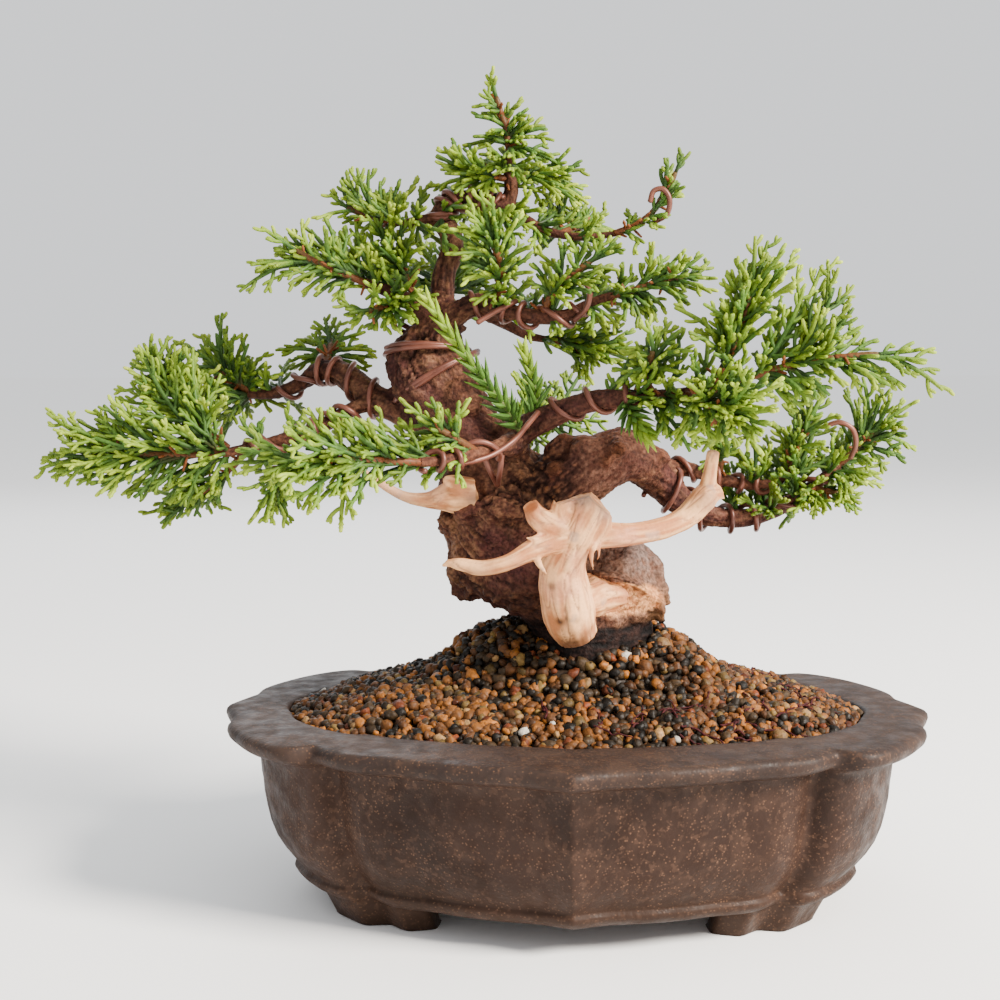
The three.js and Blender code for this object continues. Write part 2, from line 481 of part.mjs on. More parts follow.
// ---- Foliage -------------------------------------------------------------------------------
// Each spray: its stem as places [x, z, y], and the tips of its fronds as [place along the stem
// from 0 to 1, x, z, y].
const SPRAYS = {
  spray_left_main: {
    stem: [[-97, 123.6, -9], [-110, 123, -10], [-124, 123, -10], [-138, 122.5, -8]],
    tips: [
      [0.3, -119, 133, -16], [0.42, -130, 139, -12], [0.55, -136, 136, -4], [0.7, -150, 135, -10],
      [0.85, -147, 128, -14], [0.95, -150, 123, -8], [1, -152.5, 119, -5], [0.85, -146, 117, 0],
      [0.65, -136, 117, -16], [0.5, -135, 112, -20], [0.35, -126, 113, -2], [0.12, -110, 131, -22],
    ],
  },
  spray_left_upper: {
    stem: [[-98, 125, -8], [-105, 131, -4], [-112, 139, 0], [-118, 146, 2]],
    tips: [
      [0.3, -98, 139, -14], [0.4, -122, 138, -6], [0.65, -126, 146.5, -5], [1, -119.5, 156.5, 4],
      [0.85, -125, 150, 8], [0.7, -108, 150, -6], [0.85, -112.5, 155, 10], [0.5, -102, 147, 6],
    ],
  },
  spray_left_back: {
    stem: [[-90, 140, 16], [-96, 143.5, 17], [-101, 148, 18]],
    tips: [
      [0.6, -99, 163, 16], [0.8, -105, 157, 24], [1, -112, 155, 18], [0.4, -92, 157, 22],
      [0.5, -95.5, 157, 12], [0.3, -86, 152, 20], [0.12, -82, 146, 10], [0.9, -110, 147, 12],
      [0.2, -91, 133, 24], [0.1, -81, 136, 20],
    ],
  },
  spray_left_low: {
    stem: [[-93, 124, -8], [-98, 118.5, -4], [-104, 113.5, 0], [-110, 110, 2]],
    tips: [
      [1, -117, 104, 4], [0.95, -123, 106, -4], [0.7, -110, 105.5, 10], [0.5, -100, 107.5, 12],
      [0.45, -103, 112, -12], [0.8, -119, 113, 12], [0.35, -113, 115, -12],
    ],
  },
  spray_left_under: {
    stem: [[-82, 127, -8], [-83, 120, -3], [-85, 113.5, 1]],
    tips: [
      [1, -86, 103.5, 3], [0.9, -81, 103, 8], [0.7, -92, 104, -3], [0.5, -77, 110, 10],
      [0.6, -94, 113, -8], [0.3, -76, 117, -4],
    ],
  },
  spray_left_inner: {
    stem: [[-70, 146, 10], [-69, 151, 17], [-68, 155, 24]],
    tips: [
      [0.5, -84, 152.5, 22], [0.7, -78, 155.5, 28], [1, -73, 160.5, 30], [1, -65.5, 160.5, 32],
      [0.8, -58.5, 157.5, 26], [0.6, -55.5, 152, 22], [0.4, -58, 146.5, 20], [0.4, -80, 147, 24],
    ],
  },
  spray_front_left: {
    stem: [[-43, 121, -52.5], [-54, 121.5, -58], [-65, 122, -62], [-76, 121.5, -66]],
    tips: [
      [1, -91, 127, -71], [0.95, -97, 121, -66], [0.8, -87, 117.5, -58], [0.75, -83, 113.5, -74],
      [0.6, -77, 107.5, -66], [0.5, -66, 102, -60], [0.35, -57, 114, -62], [0.7, -82, 131.5, -76],
      [0.55, -75, 136.5, -60], [0.4, -67, 134, -54], [0.2, -58, 133.5, -66],
    ],
  },
  spray_front_inner: {
    stem: [[-27, 123.7, -39], [-33, 127.5, -44], [-39, 131, -47]],
    tips: [
      [1, -48, 138, -51], [0.5, -29, 139, -41], [0.8, -38, 137, -52], [0.7, -49, 128, -40],
      [0.35, -43, 114.5, -46], [0.2, -33, 115, -50],
    ],
  },
  spray_upper_left_far: {
    stem: [[-58, 171, -6], [-65, 174, -8], [-72, 177, -9], [-78, 180.5, -10]],
    tips: [
      [1, -87.5, 187, -12], [0.7, -94, 169, -14], [0.85, -84, 181, -2], [0.65, -76, 189, -4],
      [0.45, -80, 171, -14], [0.35, -76, 168, -2], [0.2, -66, 166, -12], [0.4, -69, 186, -16],
      [0.2, -62, 181, 4],
    ],
  },
  spray_upper_left_top: {
    stem: [[-47, 187.5, 0], [-52, 188.5, 2], [-58, 190, 4], [-63, 192, 6]],
    tips: [
      [1, -68, 196, 6], [0.9, -64.5, 200.5, 9], [0.65, -60, 202, 10], [0.5, -57, 202.5, 0],
      [0.3, -49, 197.5, 10], [0.12, -43, 200, 6], [0.2, -47, 193, -8], [0.85, -72, 189, 0],
      [0.4, -60, 184, 12],
    ],
  },
  spray_upper_left_low: {
    stem: [[-47, 167, -3], [-52, 165, -7], [-58, 163.5, -10]],
    tips: [
      [1, -66, 166, -13], [0.9, -63, 160, -8], [0.6, -56, 158, -2], [0.4, -50, 158, -12],
      [0.25, -45, 161, -16], [0.5, -56, 172, -20], [0.2, -44, 173, -18], [0.12, -38, 168, -17],
    ],
  },
  spray_upper_left_mid: {
    stem: [[-44, 165.5, -1], [-47, 173, 1], [-51, 180, 2]],
    tips: [
      [1, -58, 190, -4], [0.9, -50, 193, -8], [0.8, -45, 189, 8], [0.6, -42, 181, -10],
      [0.6, -61, 181, -10], [0.4, -42, 176, 14], [0.5, -57, 176, 14], [0.3, -55, 176, -12],
    ],
  },
  spray_apex: {
    stem: [[-18, 206.5, 2], [-18.5, 212, 2], [-20, 217, 2], [-21.5, 222, 2]],
    tips: [
      [1, -23, 228.5, 2], [0.7, -26, 220, -2], [0.55, -26, 216.5, 6], [0.5, -14, 221, 4],
      [0.35, -13, 217, -4], [0.25, -8, 214, 4], [0.15, -5.5, 210, -5], [0.3, -24, 212, -8],
      [0.12, -30.5, 208.5, 4], [0.2, -20, 212, 14],
    ],
  },
  spray_crown_right: {
    stem: [[-17.5, 199, 2], [-13, 200.5, 5], [-9, 201, 8]],
    tips: [
      [1, 3, 202, 10], [1, -2.5, 206.5, 6], [0.8, 2.5, 196.5, 14], [0.6, 4, 192.5, 6],
      [0.4, -4, 194, -6], [0.6, -9, 206, 18], [0.4, -15, 200, 18], [0.5, -8, 203, -8],
    ],
  },
  spray_crown_left: {
    stem: [[-18.5, 199.5, 2], [-23, 200.5, 0], [-28, 201, 0]],
    tips: [
      [1, -38, 204.5, -3], [0.95, -36, 208.5, 3], [0.8, -33.5, 209, -6], [0.5, -28, 208, -8],
      [0.6, -37, 198, 8], [0.5, -27, 205, 13], [0.3, -24, 195, -12], [0.5, -33, 196, -8],
    ],
  },
  spray_centre: {
    stem: [[-22, 165.5, -6], [-21, 171, -12], [-21, 177, -17], [-22.5, 182, -20]],
    tips: [
      [1, -30, 191, -25], [1, -26, 196.5, -21], [0.85, -18, 192.5, -24], [0.7, -14, 190, -16],
      [0.9, -34, 186, -22], [0.65, -34, 179, -26], [0.4, -31, 172, -20], [0.55, -12, 181, -24],
      [0.35, -12, 174, -16], [0.2, -28, 165, -16],
    ],
  },
  spray_upper_right: {
    stem: [[9.5, 167, -8], [17, 169, -8], [24, 171, -8], [30, 172, -8]],
    tips: [
      [1, 38.5, 172, -8], [0.95, 37.5, 176.5, -2], [0.75, 31, 178.5, -13], [0.55, 24, 178.5, -2],
      [0.4, 21, 182, -10], [0.85, 38, 168, -14], [0.6, 30, 164.5, -12], [0.35, 22, 160, -4],
      [0.15, 14, 160.5, -12], [0.5, 29, 167, 4],
    ],
  },
  spray_upper_right_mid: {
    stem: [[-9, 161.8, -8], [-6, 168, -11], [-1, 173, -12], [5, 177, -12]],
    tips: [
      [1, 14, 180, -18], [1, 8, 184, -14], [0.75, -2, 184, -17], [0.5, -11, 180, -10],
      [0.3, -13, 171, -13], [0.5, 5, 170, -20], [0.8, 13, 174, -8], [0.3, -1, 164, -18],
    ],
  },
  spray_sprout: {
    stem: [[11, 184.4, -4], [17, 186.5, -5], [21.5, 190, -6], [25, 195, -6], [28, 201, -6]],
    tips: [
      [1, 30, 206, -6], [0.8, 26, 201.5, -8], [0.65, 30, 195, -3], [0.35, 23, 185.5, -11],
      [0.25, 14, 190, -1], [0.1, 18, 181.5, -9],
    ],
  },
  spray_upper_back: {
    stem: [[-4, 184.3, -2], [0, 186, 7], [4, 187, 14]],
    tips: [
      [1, 9, 191, 19], [0.9, 3, 192.5, 18], [0.6, -5, 193, 12], [0.6, 10, 184, 12],
      [1, 12, 184.5, 24], [0.8, -2, 182, 22],
    ],
  },
  spray_under_right: {
    stem: [[-6, 155, 7], [0, 154, 8], [6, 153, 8]],
    tips: [
      [1, 18.5, 153, 8], [0.95, 15, 157.5, 14], [0.85, 11, 148.5, 3], [0.6, 3.5, 143.5, 5],
      [0.45, 0, 146, 15], [0.5, 10, 159, 14], [0.8, 19, 148, 13], [0.3, 0, 161, 2],
    ],
  },
  spray_right_front_up: {
    stem: [[38, 141.5, -36], [43, 150, -38], [47, 160, -38], [49, 169, -38]],
    tips: [
      [1, 50, 183.5, -38], [0.9, 53.5, 179, -32], [0.85, 46, 176, -44], [0.65, 42, 173, -34],
      [0.8, 58, 179.5, -42], [0.6, 62, 178, -32], [0.5, 36, 165, -42], [0.55, 61, 171, -48],
      [0.35, 28, 164, -34], [0.3, 57, 161, -50], [0.25, 32, 157, -48], [0.45, 42, 166, -24],
    ],
  },
  spray_right_front_out: {
    stem: [[49, 144.7, -38], [60, 148, -40], [72, 150, -42], [84, 151, -42]],
    tips: [
      [1, 95, 152, -42], [1, 102, 141, -44], [0.8, 88, 143.5, -38], [0.65, 84, 143, -48],
      [0.6, 79, 157, -36], [0.4, 70, 176.5, -36], [0.3, 68, 166, -44], [0.5, 72, 160, -48],
      [0.45, 75, 142, -50], [0.3, 70, 139, -36], [0.15, 65, 138, -48], [0.1, 62, 166, -30],
    ],
  },
  spray_right_front_low: {
    stem: [[31, 140.2, -34], [37, 138, -46], [43, 135, -54]],
    tips: [
      [1, 52, 123.5, -60], [0.9, 57, 136, -64], [0.7, 43, 123.5, -54], [0.5, 33, 127, -52],
      [0.6, 58, 143, -58], [0.8, 50, 146, -66], [0.4, 44, 149, -52], [0.5, 32, 143, -60],
    ],
  },
  spray_right_front_in: {
    stem: [[21, 139.3, -31], [21, 146, -33], [22, 152, -35]],
    tips: [
      [1, 20, 160.5, -36], [0.85, 14, 151, -32], [0.6, 12, 143, -34], [0.6, 33, 152, -46],
      [0.9, 27, 160, -28], [0.4, 29, 146, -44], [0.5, 22, 150, -18],
    ],
  },
  spray_right_out: {
    stem: [[73, 119.2, 20], [79, 125, 20], [84, 130, 20]],
    tips: [
      [1, 95, 138, 20], [0.95, 92, 130.5, 14], [0.8, 95, 124, 24], [0.5, 87, 118.5, 20],
      [0.6, 80, 144.5, 22], [0.85, 88, 140, 12], [0.4, 75, 141, 28], [0.3, 83, 120, 10],
    ],
  },
  spray_right_under: {
    stem: [[66, 113.8, 18], [70, 113, 16], [74, 112, 15]],
    tips: [[1, 79, 108, 14], [0.8, 80, 115, 20], [0.5, 67.5, 109, 20], [0.9, 75, 109.5, 8]],
  },
  spray_right_mid: {
    stem: [[59, 115.8, 14], [61, 123, 13], [64, 130, 12]],
    tips: [
      [1, 70, 141, 10], [0.8, 59, 138, 20], [0.8, 74, 134, 6], [0.6, 53, 132, 6],
      [0.5, 70, 126, 4], [0.4, 51, 124, 18], [0.9, 66, 139, 24],
    ],
  },
  spray_right_inner: {
    stem: [[41, 116.3, 13], [41, 123, 14], [43, 130, 16]],
    tips: [
      [1, 47, 138, 20], [0.8, 37, 134, 22], [0.6, 34, 127, 12], [0.6, 51, 128, 6],
      [0.35, 35, 119, 6], [0.4, 49, 121, 24], [0.8, 46, 133, 30],
    ],
  },
  spray_back: {
    stem: [[-9, 132.2, 36], [-6, 134, 41], [-2, 135.5, 45]],
    tips: [
      [1, -7, 143.5, 50], [0.8, -12, 140, 42], [0.6, -8, 127.5, 44], [0.9, -1, 126.5, 52],
      [1, 4, 141, 50], [0.8, 5, 131, 42],
    ],
  },
  spray_back_high: {
    stem: [[-35, 168.5, 26], [-34.5, 171, 32], [-34, 173, 38]],
    tips: [
      [1, -34, 179, 50], [0.9, -46, 176, 42], [0.9, -22, 177, 42], [0.4, -50, 170, 32],
      [0.4, -19, 169, 32], [0.7, -33, 185, 32], [0.6, -40, 163, 42], [0.7, -27, 164, 44],
    ],
  },
};

// Sprigs of pointed young leaves in pairs: the stem, the number of pairs and the leaf length.
const SPRIGS = {
  sprig_left: {
    stem: [[-15, 129.5, -17], [-19, 136, -24], [-26, 145, -29], [-34, 156, -32], [-42, 168, -35]],
    pairs: 9,
    leaf: 8,
  },
  sprig_middle: {
    stem: [[-12, 131, -15], [-10.5, 138, -16], [-12, 146, -17], [-14.5, 154, -18]],
    pairs: 6,
    leaf: 8,
  },
  sprig_right: {
    stem: [[14, 138, -29], [17, 133, -37], [21, 127.5, -42]],
    pairs: 6,
    leaf: 9,
  },
};
const STEM_RADIUS = 1.3;
const STEM_SIDES = 3;

// The bent axis of a frond: it leaves along the stem and turns to its tip.
function frondAxis(root, forward, tip, share) {
  const length = root.distanceTo(tip);
  const bend = root.clone().addScaledVector(forward, 0.3 * length).lerp(root.clone().lerp(tip, 0.4), 0.5);
  const a = root.clone().lerp(bend, share);
  return a.lerp(bend.clone().lerp(tip, share), share);
}

// A fan of cords as one thin body, thickest along its axis, from a pointed root to its tip. Each
// node is { at, along, across, reach }, where reach holds the lengths of a right and a left shoot.
function fan(root, nodes, tip, radius, grow) {
  const r = radius + grow;
  const points = [];
  const add = (at, node) => ({ index: points.push(at) - 1, node });
  const ridges = nodes.map(({ at, along, across }) => {
    const face = across.clone().cross(along);
    return [1, -1].map((side) => points.push(at.clone().addScaledVector(face, side * r)) - 1);
  });
  const sides = [1, -1].map((side, which) => nodes.flatMap(({ at, along, across, reach }, i) => {
    const edge = at.clone().addScaledVector(across, side * r);
    if (!reach) return [add(edge, i)];
    const width = r / Math.sin(SHOOT_ANGLE);
    const length = reach[which] * (grow > 0 ? GROWN_REACH : 1);
    const end = at.clone()
      .addScaledVector(along, Math.cos(SHOOT_ANGLE) * length)
      .addScaledVector(across, side * Math.sin(SHOOT_ANGLE) * length);
    return [
      add(edge.clone().addScaledVector(along, -width), i), add(end, i),
      add(edge.addScaledVector(along, width), i)];
  }));
  const ring = [add(root, 0), ...sides[0], add(tip, nodes.length - 1), ...sides[1].reverse()];
  const faces = [];
  ring.forEach((a, i) => {
    const b = ring[(i + 1) % ring.length];
    const [topA, lowA] = ridges[a.node];
    const [topB, lowB] = ridges[b.node];
    faces.push(a.index, b.index, topB, b.index, a.index, lowB);
    if (a.node !== b.node) faces.push(a.index, topB, topA, a.index, lowA, lowB);
  });
  const geometry = new THREE.BufferGeometry();
  geometry.setAttribute("position", new THREE.Float32BufferAttribute(points.flatMap((p) => p.toArray()), 3));
  geometry.setIndex(faces);
  return solid(geometry);
}

function makeFrond(root, forward, tip, seed, grow) {
  const length = root.distanceTo(tip);
  const face = new THREE.Vector3(1.4 * (draw(seed, 1) - 0.5), -0.3 - 0.6 * draw(seed, 2), 0.75).normalize();
  const count = Math.round(length / PAIR_SPACING);
  const nodes = [];
  for (let i = 0; i < Math.max(count, 1); i++) {
    const share = LOWEST_PAIR + ((HIGHEST_PAIR - LOWEST_PAIR) * (i + 0.5)) / Math.max(count, 1);
    const at = frondAxis(root, forward, tip, share);
    const along = frondAxis(root, forward, tip, share + 0.05).sub(at).normalize();
    const across = along.clone().cross(face).normalize();
    const longest = Math.min(SHOOT_SHARE * length * (1 - 0.62 * share), LONGEST_SHOOT);
    const reach = [2 * i, 2 * i + 1].map((k) => longest * (0.8 + 0.4 * draw(seed, k + 3)));
    nodes.push({ at, along, across, reach: count ? reach : null });
  }
  return fan(root, nodes, tip, CORD_RADIUS, grow);
}

function stemCurve(stem) {
  return new THREE.CatmullRomCurve3(stem.map(seen), false, "catmullrom", 0.5);
}

function makeSpray({ stem, tips }, seed, grow = 0) {
  const curve = stemCurve(stem);
  const path = pathThrough(stem.map((place) => [...place, STEM_RADIUS]));
  const pieces = [limb(path, STEM_SIDES, grow)];
  tips.forEach(([share, ...tip], i) => {
    const forward = curve.getTangent(share).normalize();
    pieces.push(makeFrond(curve.getPoint(share), forward, seen(tip), seed * 20 + i, grow));
  });
  return joined(pieces);
}

function makeSprig({ stem, pairs, leaf }, seed, grow = 0) {
  const curve = stemCurve(stem);
  const nodes = [];
  for (let i = 0; i < pairs; i++) {
    const share = 0.08 + (0.86 * i) / pairs;
    const at = curve.getPoint(share);
    const along = curve.getTangent(share).normalize();
    const across = new THREE.Vector3(0, 1, 0).cross(along).normalize().applyAxisAngle(along, i * LEAF_TWIST);
    const reach = [2 * i, 2 * i + 1].map((k) => leaf * (1 - 0.3 * share) * (0.85 + 0.3 * draw(seed, k)));
    nodes.push({ at, along, across, reach });
  }
  return fan(curve.getPoint(0), nodes, curve.getPoint(1), YOUNG_STEM_RADIUS, grow);
}

// ---- The whole -----------------------------------------------------------------------------
function material(colour, roughness, metalness = 0) {
  return new THREE.MeshStandardMaterial({ color: colour, roughness, metalness });
}

const STONEWARE = material(0x4a3b36, 0.75);
const PLASTIC_MESH = material(0x2b2b2b, 0.6);
const BARE_WIRE = material(0xb8b8b8, 0.35, 1);
const GRANULES = material(0x9a6a3c, 0.95);
const BARK = material(0x6b4535, 0.9);
const DEADWOOD = material(0xd9bfa0, 0.8);
const BROWN_WIRE = material(0x6e3f33, 0.4, 1);
const SCALE_LEAF = material(0x6f9a3c, 0.6);
const YOUNG_LEAF = material(0x5c8f3f, 0.6);

const pieces = [];

function keep(name, piece, finish) {
  pieces.push({ name, piece, finish });
  return piece;
}

const wood = makeWood();
const woodRoom = makeWood(CLEARANCE);
const deadwoodFrontRoom = makeDeadwood(DEADWOOD_FRONT, BARE_PATCHES, CLEARANCE);
const deadwoodLeftRoom = makeDeadwood(DEADWOOD_LEFT, [], CLEARANCE);

keep("pot", makePot(), STONEWARE);
keep("drain_mesh_left", makeDrainMesh(-1).subtract(makeTieWire(CLEARANCE)), PLASTIC_MESH);
keep("drain_mesh_right", makeDrainMesh(1).subtract(makeTieWire(CLEARANCE)), PLASTIC_MESH);
keep("tie_wire", largest(makeTieWire().subtract(woodRoom)), BARE_WIRE);
const soil = makeSoil().subtract(joined([
  woodRoom, makeTieWire(CLEARANCE), makeDrainMesh(-1, CLEARANCE), makeDrainMesh(1, CLEARANCE)]));
keep("soil", largest(soil), GRANULES);
keep("tree_wood", largest(wood.subtract(joined([deadwoodFrontRoom, deadwoodLeftRoom]))), BARK);
keep("deadwood_front", makeDeadwood(DEADWOOD_FRONT, BARE_PATCHES), DEADWOOD);
keep("deadwood_left", makeDeadwood(DEADWOOD_LEFT, []), DEADWOOD);

// What is already placed, with room round it. Each piece after that is cut clear of it.
let taken = joined([woodRoom, deadwoodFrontRoom, deadwoodLeftRoom]);

function place(name, make, finish) {
  keep(name, largest(make(0).subtract(taken)), finish);
  taken = taken.add(make(CLEARANCE));
}

for (const [name, wire] of Object.entries(WIRES)) place(name, (grow) => makeWire(wire, grow), BROWN_WIRE);
Object.entries(SPRIGS).forEach(([name, sprig], i) => {
  place(name, (grow) => makeSprig(sprig, i + 1, grow), YOUNG_LEAF);
});
Object.entries(SPRAYS).forEach(([name, spray], i) => {
  place(name, (grow) => makeSpray(spray, i + 1, grow), SCALE_LEAF);
});

const group = new THREE.Group();
const box = new THREE.Box3();
for (const { name, piece, finish } of pieces) {
  const mesh = new THREE.Mesh(toGeometry(piece), finish);
  mesh.name = name;
  group.add(mesh);
  box.expandByObject(mesh);
}
const middle = box.getCenter(new THREE.Vector3());
group.position.set(-middle.x, -middle.y, 0);

export default group;
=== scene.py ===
# A juniper bonsai in a lobed stoneware pot, dressed round its solids. Lengths are in millimetres
# in the pot's own frame until a piece is made, with +Z up and the front towards -Y.
import math

import bpy
import numpy as np
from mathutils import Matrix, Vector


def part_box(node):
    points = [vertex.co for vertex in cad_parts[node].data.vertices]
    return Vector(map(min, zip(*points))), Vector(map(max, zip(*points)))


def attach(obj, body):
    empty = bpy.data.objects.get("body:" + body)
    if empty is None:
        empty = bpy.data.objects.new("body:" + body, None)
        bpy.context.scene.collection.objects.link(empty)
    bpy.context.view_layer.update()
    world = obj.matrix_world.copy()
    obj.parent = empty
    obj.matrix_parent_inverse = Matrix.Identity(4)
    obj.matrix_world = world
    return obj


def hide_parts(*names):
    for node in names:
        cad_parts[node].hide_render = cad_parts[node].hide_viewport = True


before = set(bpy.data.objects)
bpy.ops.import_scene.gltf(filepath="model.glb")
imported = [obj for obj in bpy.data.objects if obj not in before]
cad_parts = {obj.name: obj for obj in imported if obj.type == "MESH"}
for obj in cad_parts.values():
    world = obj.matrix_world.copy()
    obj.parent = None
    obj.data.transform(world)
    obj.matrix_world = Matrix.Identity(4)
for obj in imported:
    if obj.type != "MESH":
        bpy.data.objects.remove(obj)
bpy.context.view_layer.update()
pot_low, pot_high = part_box("pot")
SHIFT = np.array([500 * (pot_low[0] + pot_high[0]), 0, 0])  # the pot's middle in the scene

EYE = np.array([0.5, -433, 145])  # where the front view is taken from


# ---- Numbers -------------------------------------------------------------------------------
def seen(places):
    """Points [x, z, y]: x and z as they appear on the pot's middle plane, y the real depth."""
    places = np.asarray(places, float)
    x, z, y = places[..., 0], places[..., 1], places[..., 2]
    reach = (y - EYE[1]) / -EYE[1]
    return np.stack([EYE[0] + (x - EYE[0]) * reach, y, EYE[2] + (z - EYE[2]) * reach], -1)


def draw(a, b):
    """A fixed draw between 0 and 1 for a pair of numbers."""
    v = math.sin(a * 12.9898 + b * 78.233) * 43758.5453
    return v - math.floor(v)


def unit(v):
    v = np.asarray(v, float)
    return v / np.maximum(np.linalg.norm(v, axis=-1, keepdims=True), 1e-9)


def mix(a, b, share):
    share = np.asarray(share, float)
    return np.asarray(a, float) * (1 - share) + np.asarray(b, float) * share


def paint(a, b, share):
    """Colours from a to b, with a share for each point."""
    return mix(a, b, share[:, None])


def ramp(value, low, high):
    t = np.clip((value - low) / (high - low), 0, 1)
    return t * t * (3 - 2 * t)


def around(count):
    """The angles of count even steps round a circle."""
    return np.arange(count) / count * 2 * math.pi


def spline(rows, share):
    """The Catmull-Rom curve through rows, at shares from 0 to 1."""
    rows = np.asarray(rows, float)
    last = len(rows) - 1
    place = np.clip(np.asarray(share, float), 0, 1) * last
    low = np.minimum(place.astype(int), last - 1)
    w = (place - low)[..., None]
    padded = np.vstack([2 * rows[0] - rows[1], rows, 2 * rows[-1] - rows[-2]])
    a, b, c, d = (padded[low + k] for k in range(4))
    leave, arrive = 0.5 * (c - a), 0.5 * (d - b)
    return ((2 * b - 2 * c + leave + arrive) * w**3
            + (-3 * b + 3 * c - 2 * leave - arrive) * w**2 + leave * w + b)


def lattice(cell, seed):
    """A fixed number from -1 to 1 for each cell, by an integer hash."""
    h = (cell[..., 0] * 73856093) ^ (cell[..., 1] * 19349663) ^ (cell[..., 2] * 83492791)
    h = (h ^ (seed * 2654435761)) & 0xFFFFFFFF
    h = ((h ^ (h >> 15)) * 2246822519) & 0xFFFFFFFF
    h = ((h ^ (h >> 13)) * 3266489917) & 0xFFFFFFFF
    return (h ^ (h >> 16)) / 0xFFFFFFFF * 2 - 1


def noise(p, seed):
    """Smooth noise from -1 to 1, with one swing to a unit of length."""
    cell = np.floor(p).astype(np.int64)
    f = p - cell
    f = f * f * (3 - 2 * f)
    total = np.zeros(p.shape[:-1])
    for corner in np.ndindex(2, 2, 2):
        weight = np.prod(np.where(corner, f, 1 - f), axis=-1)
        total += weight * lattice(cell + np.array(corner), seed)
    return total


def layered(p, seed, layers):
    total = sum(0.5**k * noise(p * 2**k, seed + k) for k in range(layers))
    return total / (2 - 0.5 ** (layers - 1))


# ---- Surfaces ------------------------------------------------------------------------------
END_BULGE = 0.45  # of a tube's end, in its radius


def tubes(paths, radii):
    """Closed tubes along paths (tubes, steps, 3) with radii (tubes, steps, sides)."""
    count, steps, _ = paths.shape
    sides = radii.shape[2]
    along = unit(np.gradient(paths, axis=1))
    across = np.cross([0.0, 0.0, 1.0], along[:, 0])
    upright = np.linalg.norm(across, axis=-1) < 0.3
    across[upright] = np.cross([1.0, 0.0, 0.0], along[upright, 0])
    turn = around(sides)[None, :, None]
    rings = np.empty((count, steps, sides, 3))
    for i in range(steps):
        t = along[:, i]
        across = unit(across - np.sum(across * t, -1, keepdims=True) * t)
        out = np.cos(turn) * across[:, None] + np.sin(turn) * np.cross(t, across)[:, None]
        rings[:, i] = paths[:, i, None] + radii[:, i, :, None] * out
    first = paths[:, 0] - along[:, 0] * radii[:, 0].mean(-1)[:, None] * END_BULGE
    last = paths[:, -1] + along[:, -1] * radii[:, -1].mean(-1)[:, None] * END_BULGE
    points = np.concatenate([rings.reshape(count, -1, 3), first[:, None], last[:, None]], 1)
    starts = np.arange(count) * (steps * sides + 2)
    faces = tube_faces(steps, sides)[None] + starts[:, None, None]
    return points.reshape(-1, 3), faces.reshape(-1, 3)


def tube_faces(steps, sides):
    """Triangles of a tube's wall, and a fan to a middle point at each end."""
    i, k = np.meshgrid(np.arange(steps - 1), np.arange(sides), indexing="ij")
    a = (i * sides + k).ravel()
    b = (i * sides + (k + 1) % sides).ravel()
    wall = np.concatenate([np.stack([a, b, b + sides], 1), np.stack([a, b + sides, a + sides], 1)])
    k = np.arange(sides)
    after = (k + 1) % sides
    top = (steps - 1) * sides
    first = np.stack([np.full(sides, steps * sides), after, k], 1)
    last = np.stack([np.full(sides, steps * sides + 1), top + k, top + after], 1)
    return np.concatenate([wall, first, last])


def skin(rings, first, last):
    """A closed skin over rings (rings, sides, 3) with a fan to a middle point at each end."""
    rings = np.asarray(rings, float)
    points = np.concatenate([rings.reshape(-1, 3), [first], [last]])
    return points, tube_faces(*rings.shape[:2])


def merged(shells):
    starts = np.cumsum([0] + [len(points) for points, _ in shells])
    return (np.concatenate([points for points, _ in shells]),
            np.concatenate([faces + start for (_, faces), start in zip(shells, starts)]))


def ball(detail):
    """A unit icosphere as points and triangles."""
    g = (1 + 5**0.5) / 2
    points = [(-1, g, 0), (1, g, 0), (-1, -g, 0), (1, -g, 0), (0, -1, g), (0, 1, g),
              (0, -1, -g), (0, 1, -g), (g, 0, -1), (g, 0, 1), (-g, 0, -1), (-g, 0, 1)]
    faces = [(0, 11, 5), (0, 5, 1), (0, 1, 7), (0, 7, 10), (0, 10, 11), (1, 5, 9), (5, 11, 4),
             (11, 10, 2), (10, 7, 6), (7, 1, 8), (3, 9, 4), (3, 4, 2), (3, 2, 6), (3, 6, 8),
             (3, 8, 9), (4, 9, 5), (2, 4, 11), (6, 2, 10), (8, 6, 7), (9, 8, 1)]
    points = [unit(p) for p in points]
    for _ in range(detail):
        middles, finer = {}, []
        for face in faces:
            mids = []
            for a, b in ((0, 1), (1, 2), (2, 0)):
                key = tuple(sorted((face[a], face[b])))
                if key not in middles:
                    middles[key] = len(points)
                    points.append(unit(points[key[0]] + points[key[1]]))
                mids.append(middles[key])
            a, b, c = face
            x, y, z = mids
            finer += [(a, x, z), (b, y, x), (c, z, y), (x, y, z)]
        faces = finer
    return np.array(points), np.array(faces)


def make_mesh(name, points, faces):
    mesh = bpy.data.meshes.new(name)
    mesh.vertices.add(len(points))
    mesh.vertices.foreach_set("co", points.astype(np.float32).ravel())
    mesh.loops.add(faces.size)
    mesh.loops.foreach_set("vertex_index", faces.astype(np.int32).ravel())
    mesh.polygons.add(len(faces))
    mesh.polygons.foreach_set("loop_start", np.arange(0, faces.size, 3, dtype=np.int32))
    mesh.update(calc_edges=True)
    return mesh


def placed(name, data):
    """A new object in the scene."""
    obj = bpy.data.objects.new(name, data)
    bpy.context.scene.collection.objects.link(obj)
    return obj


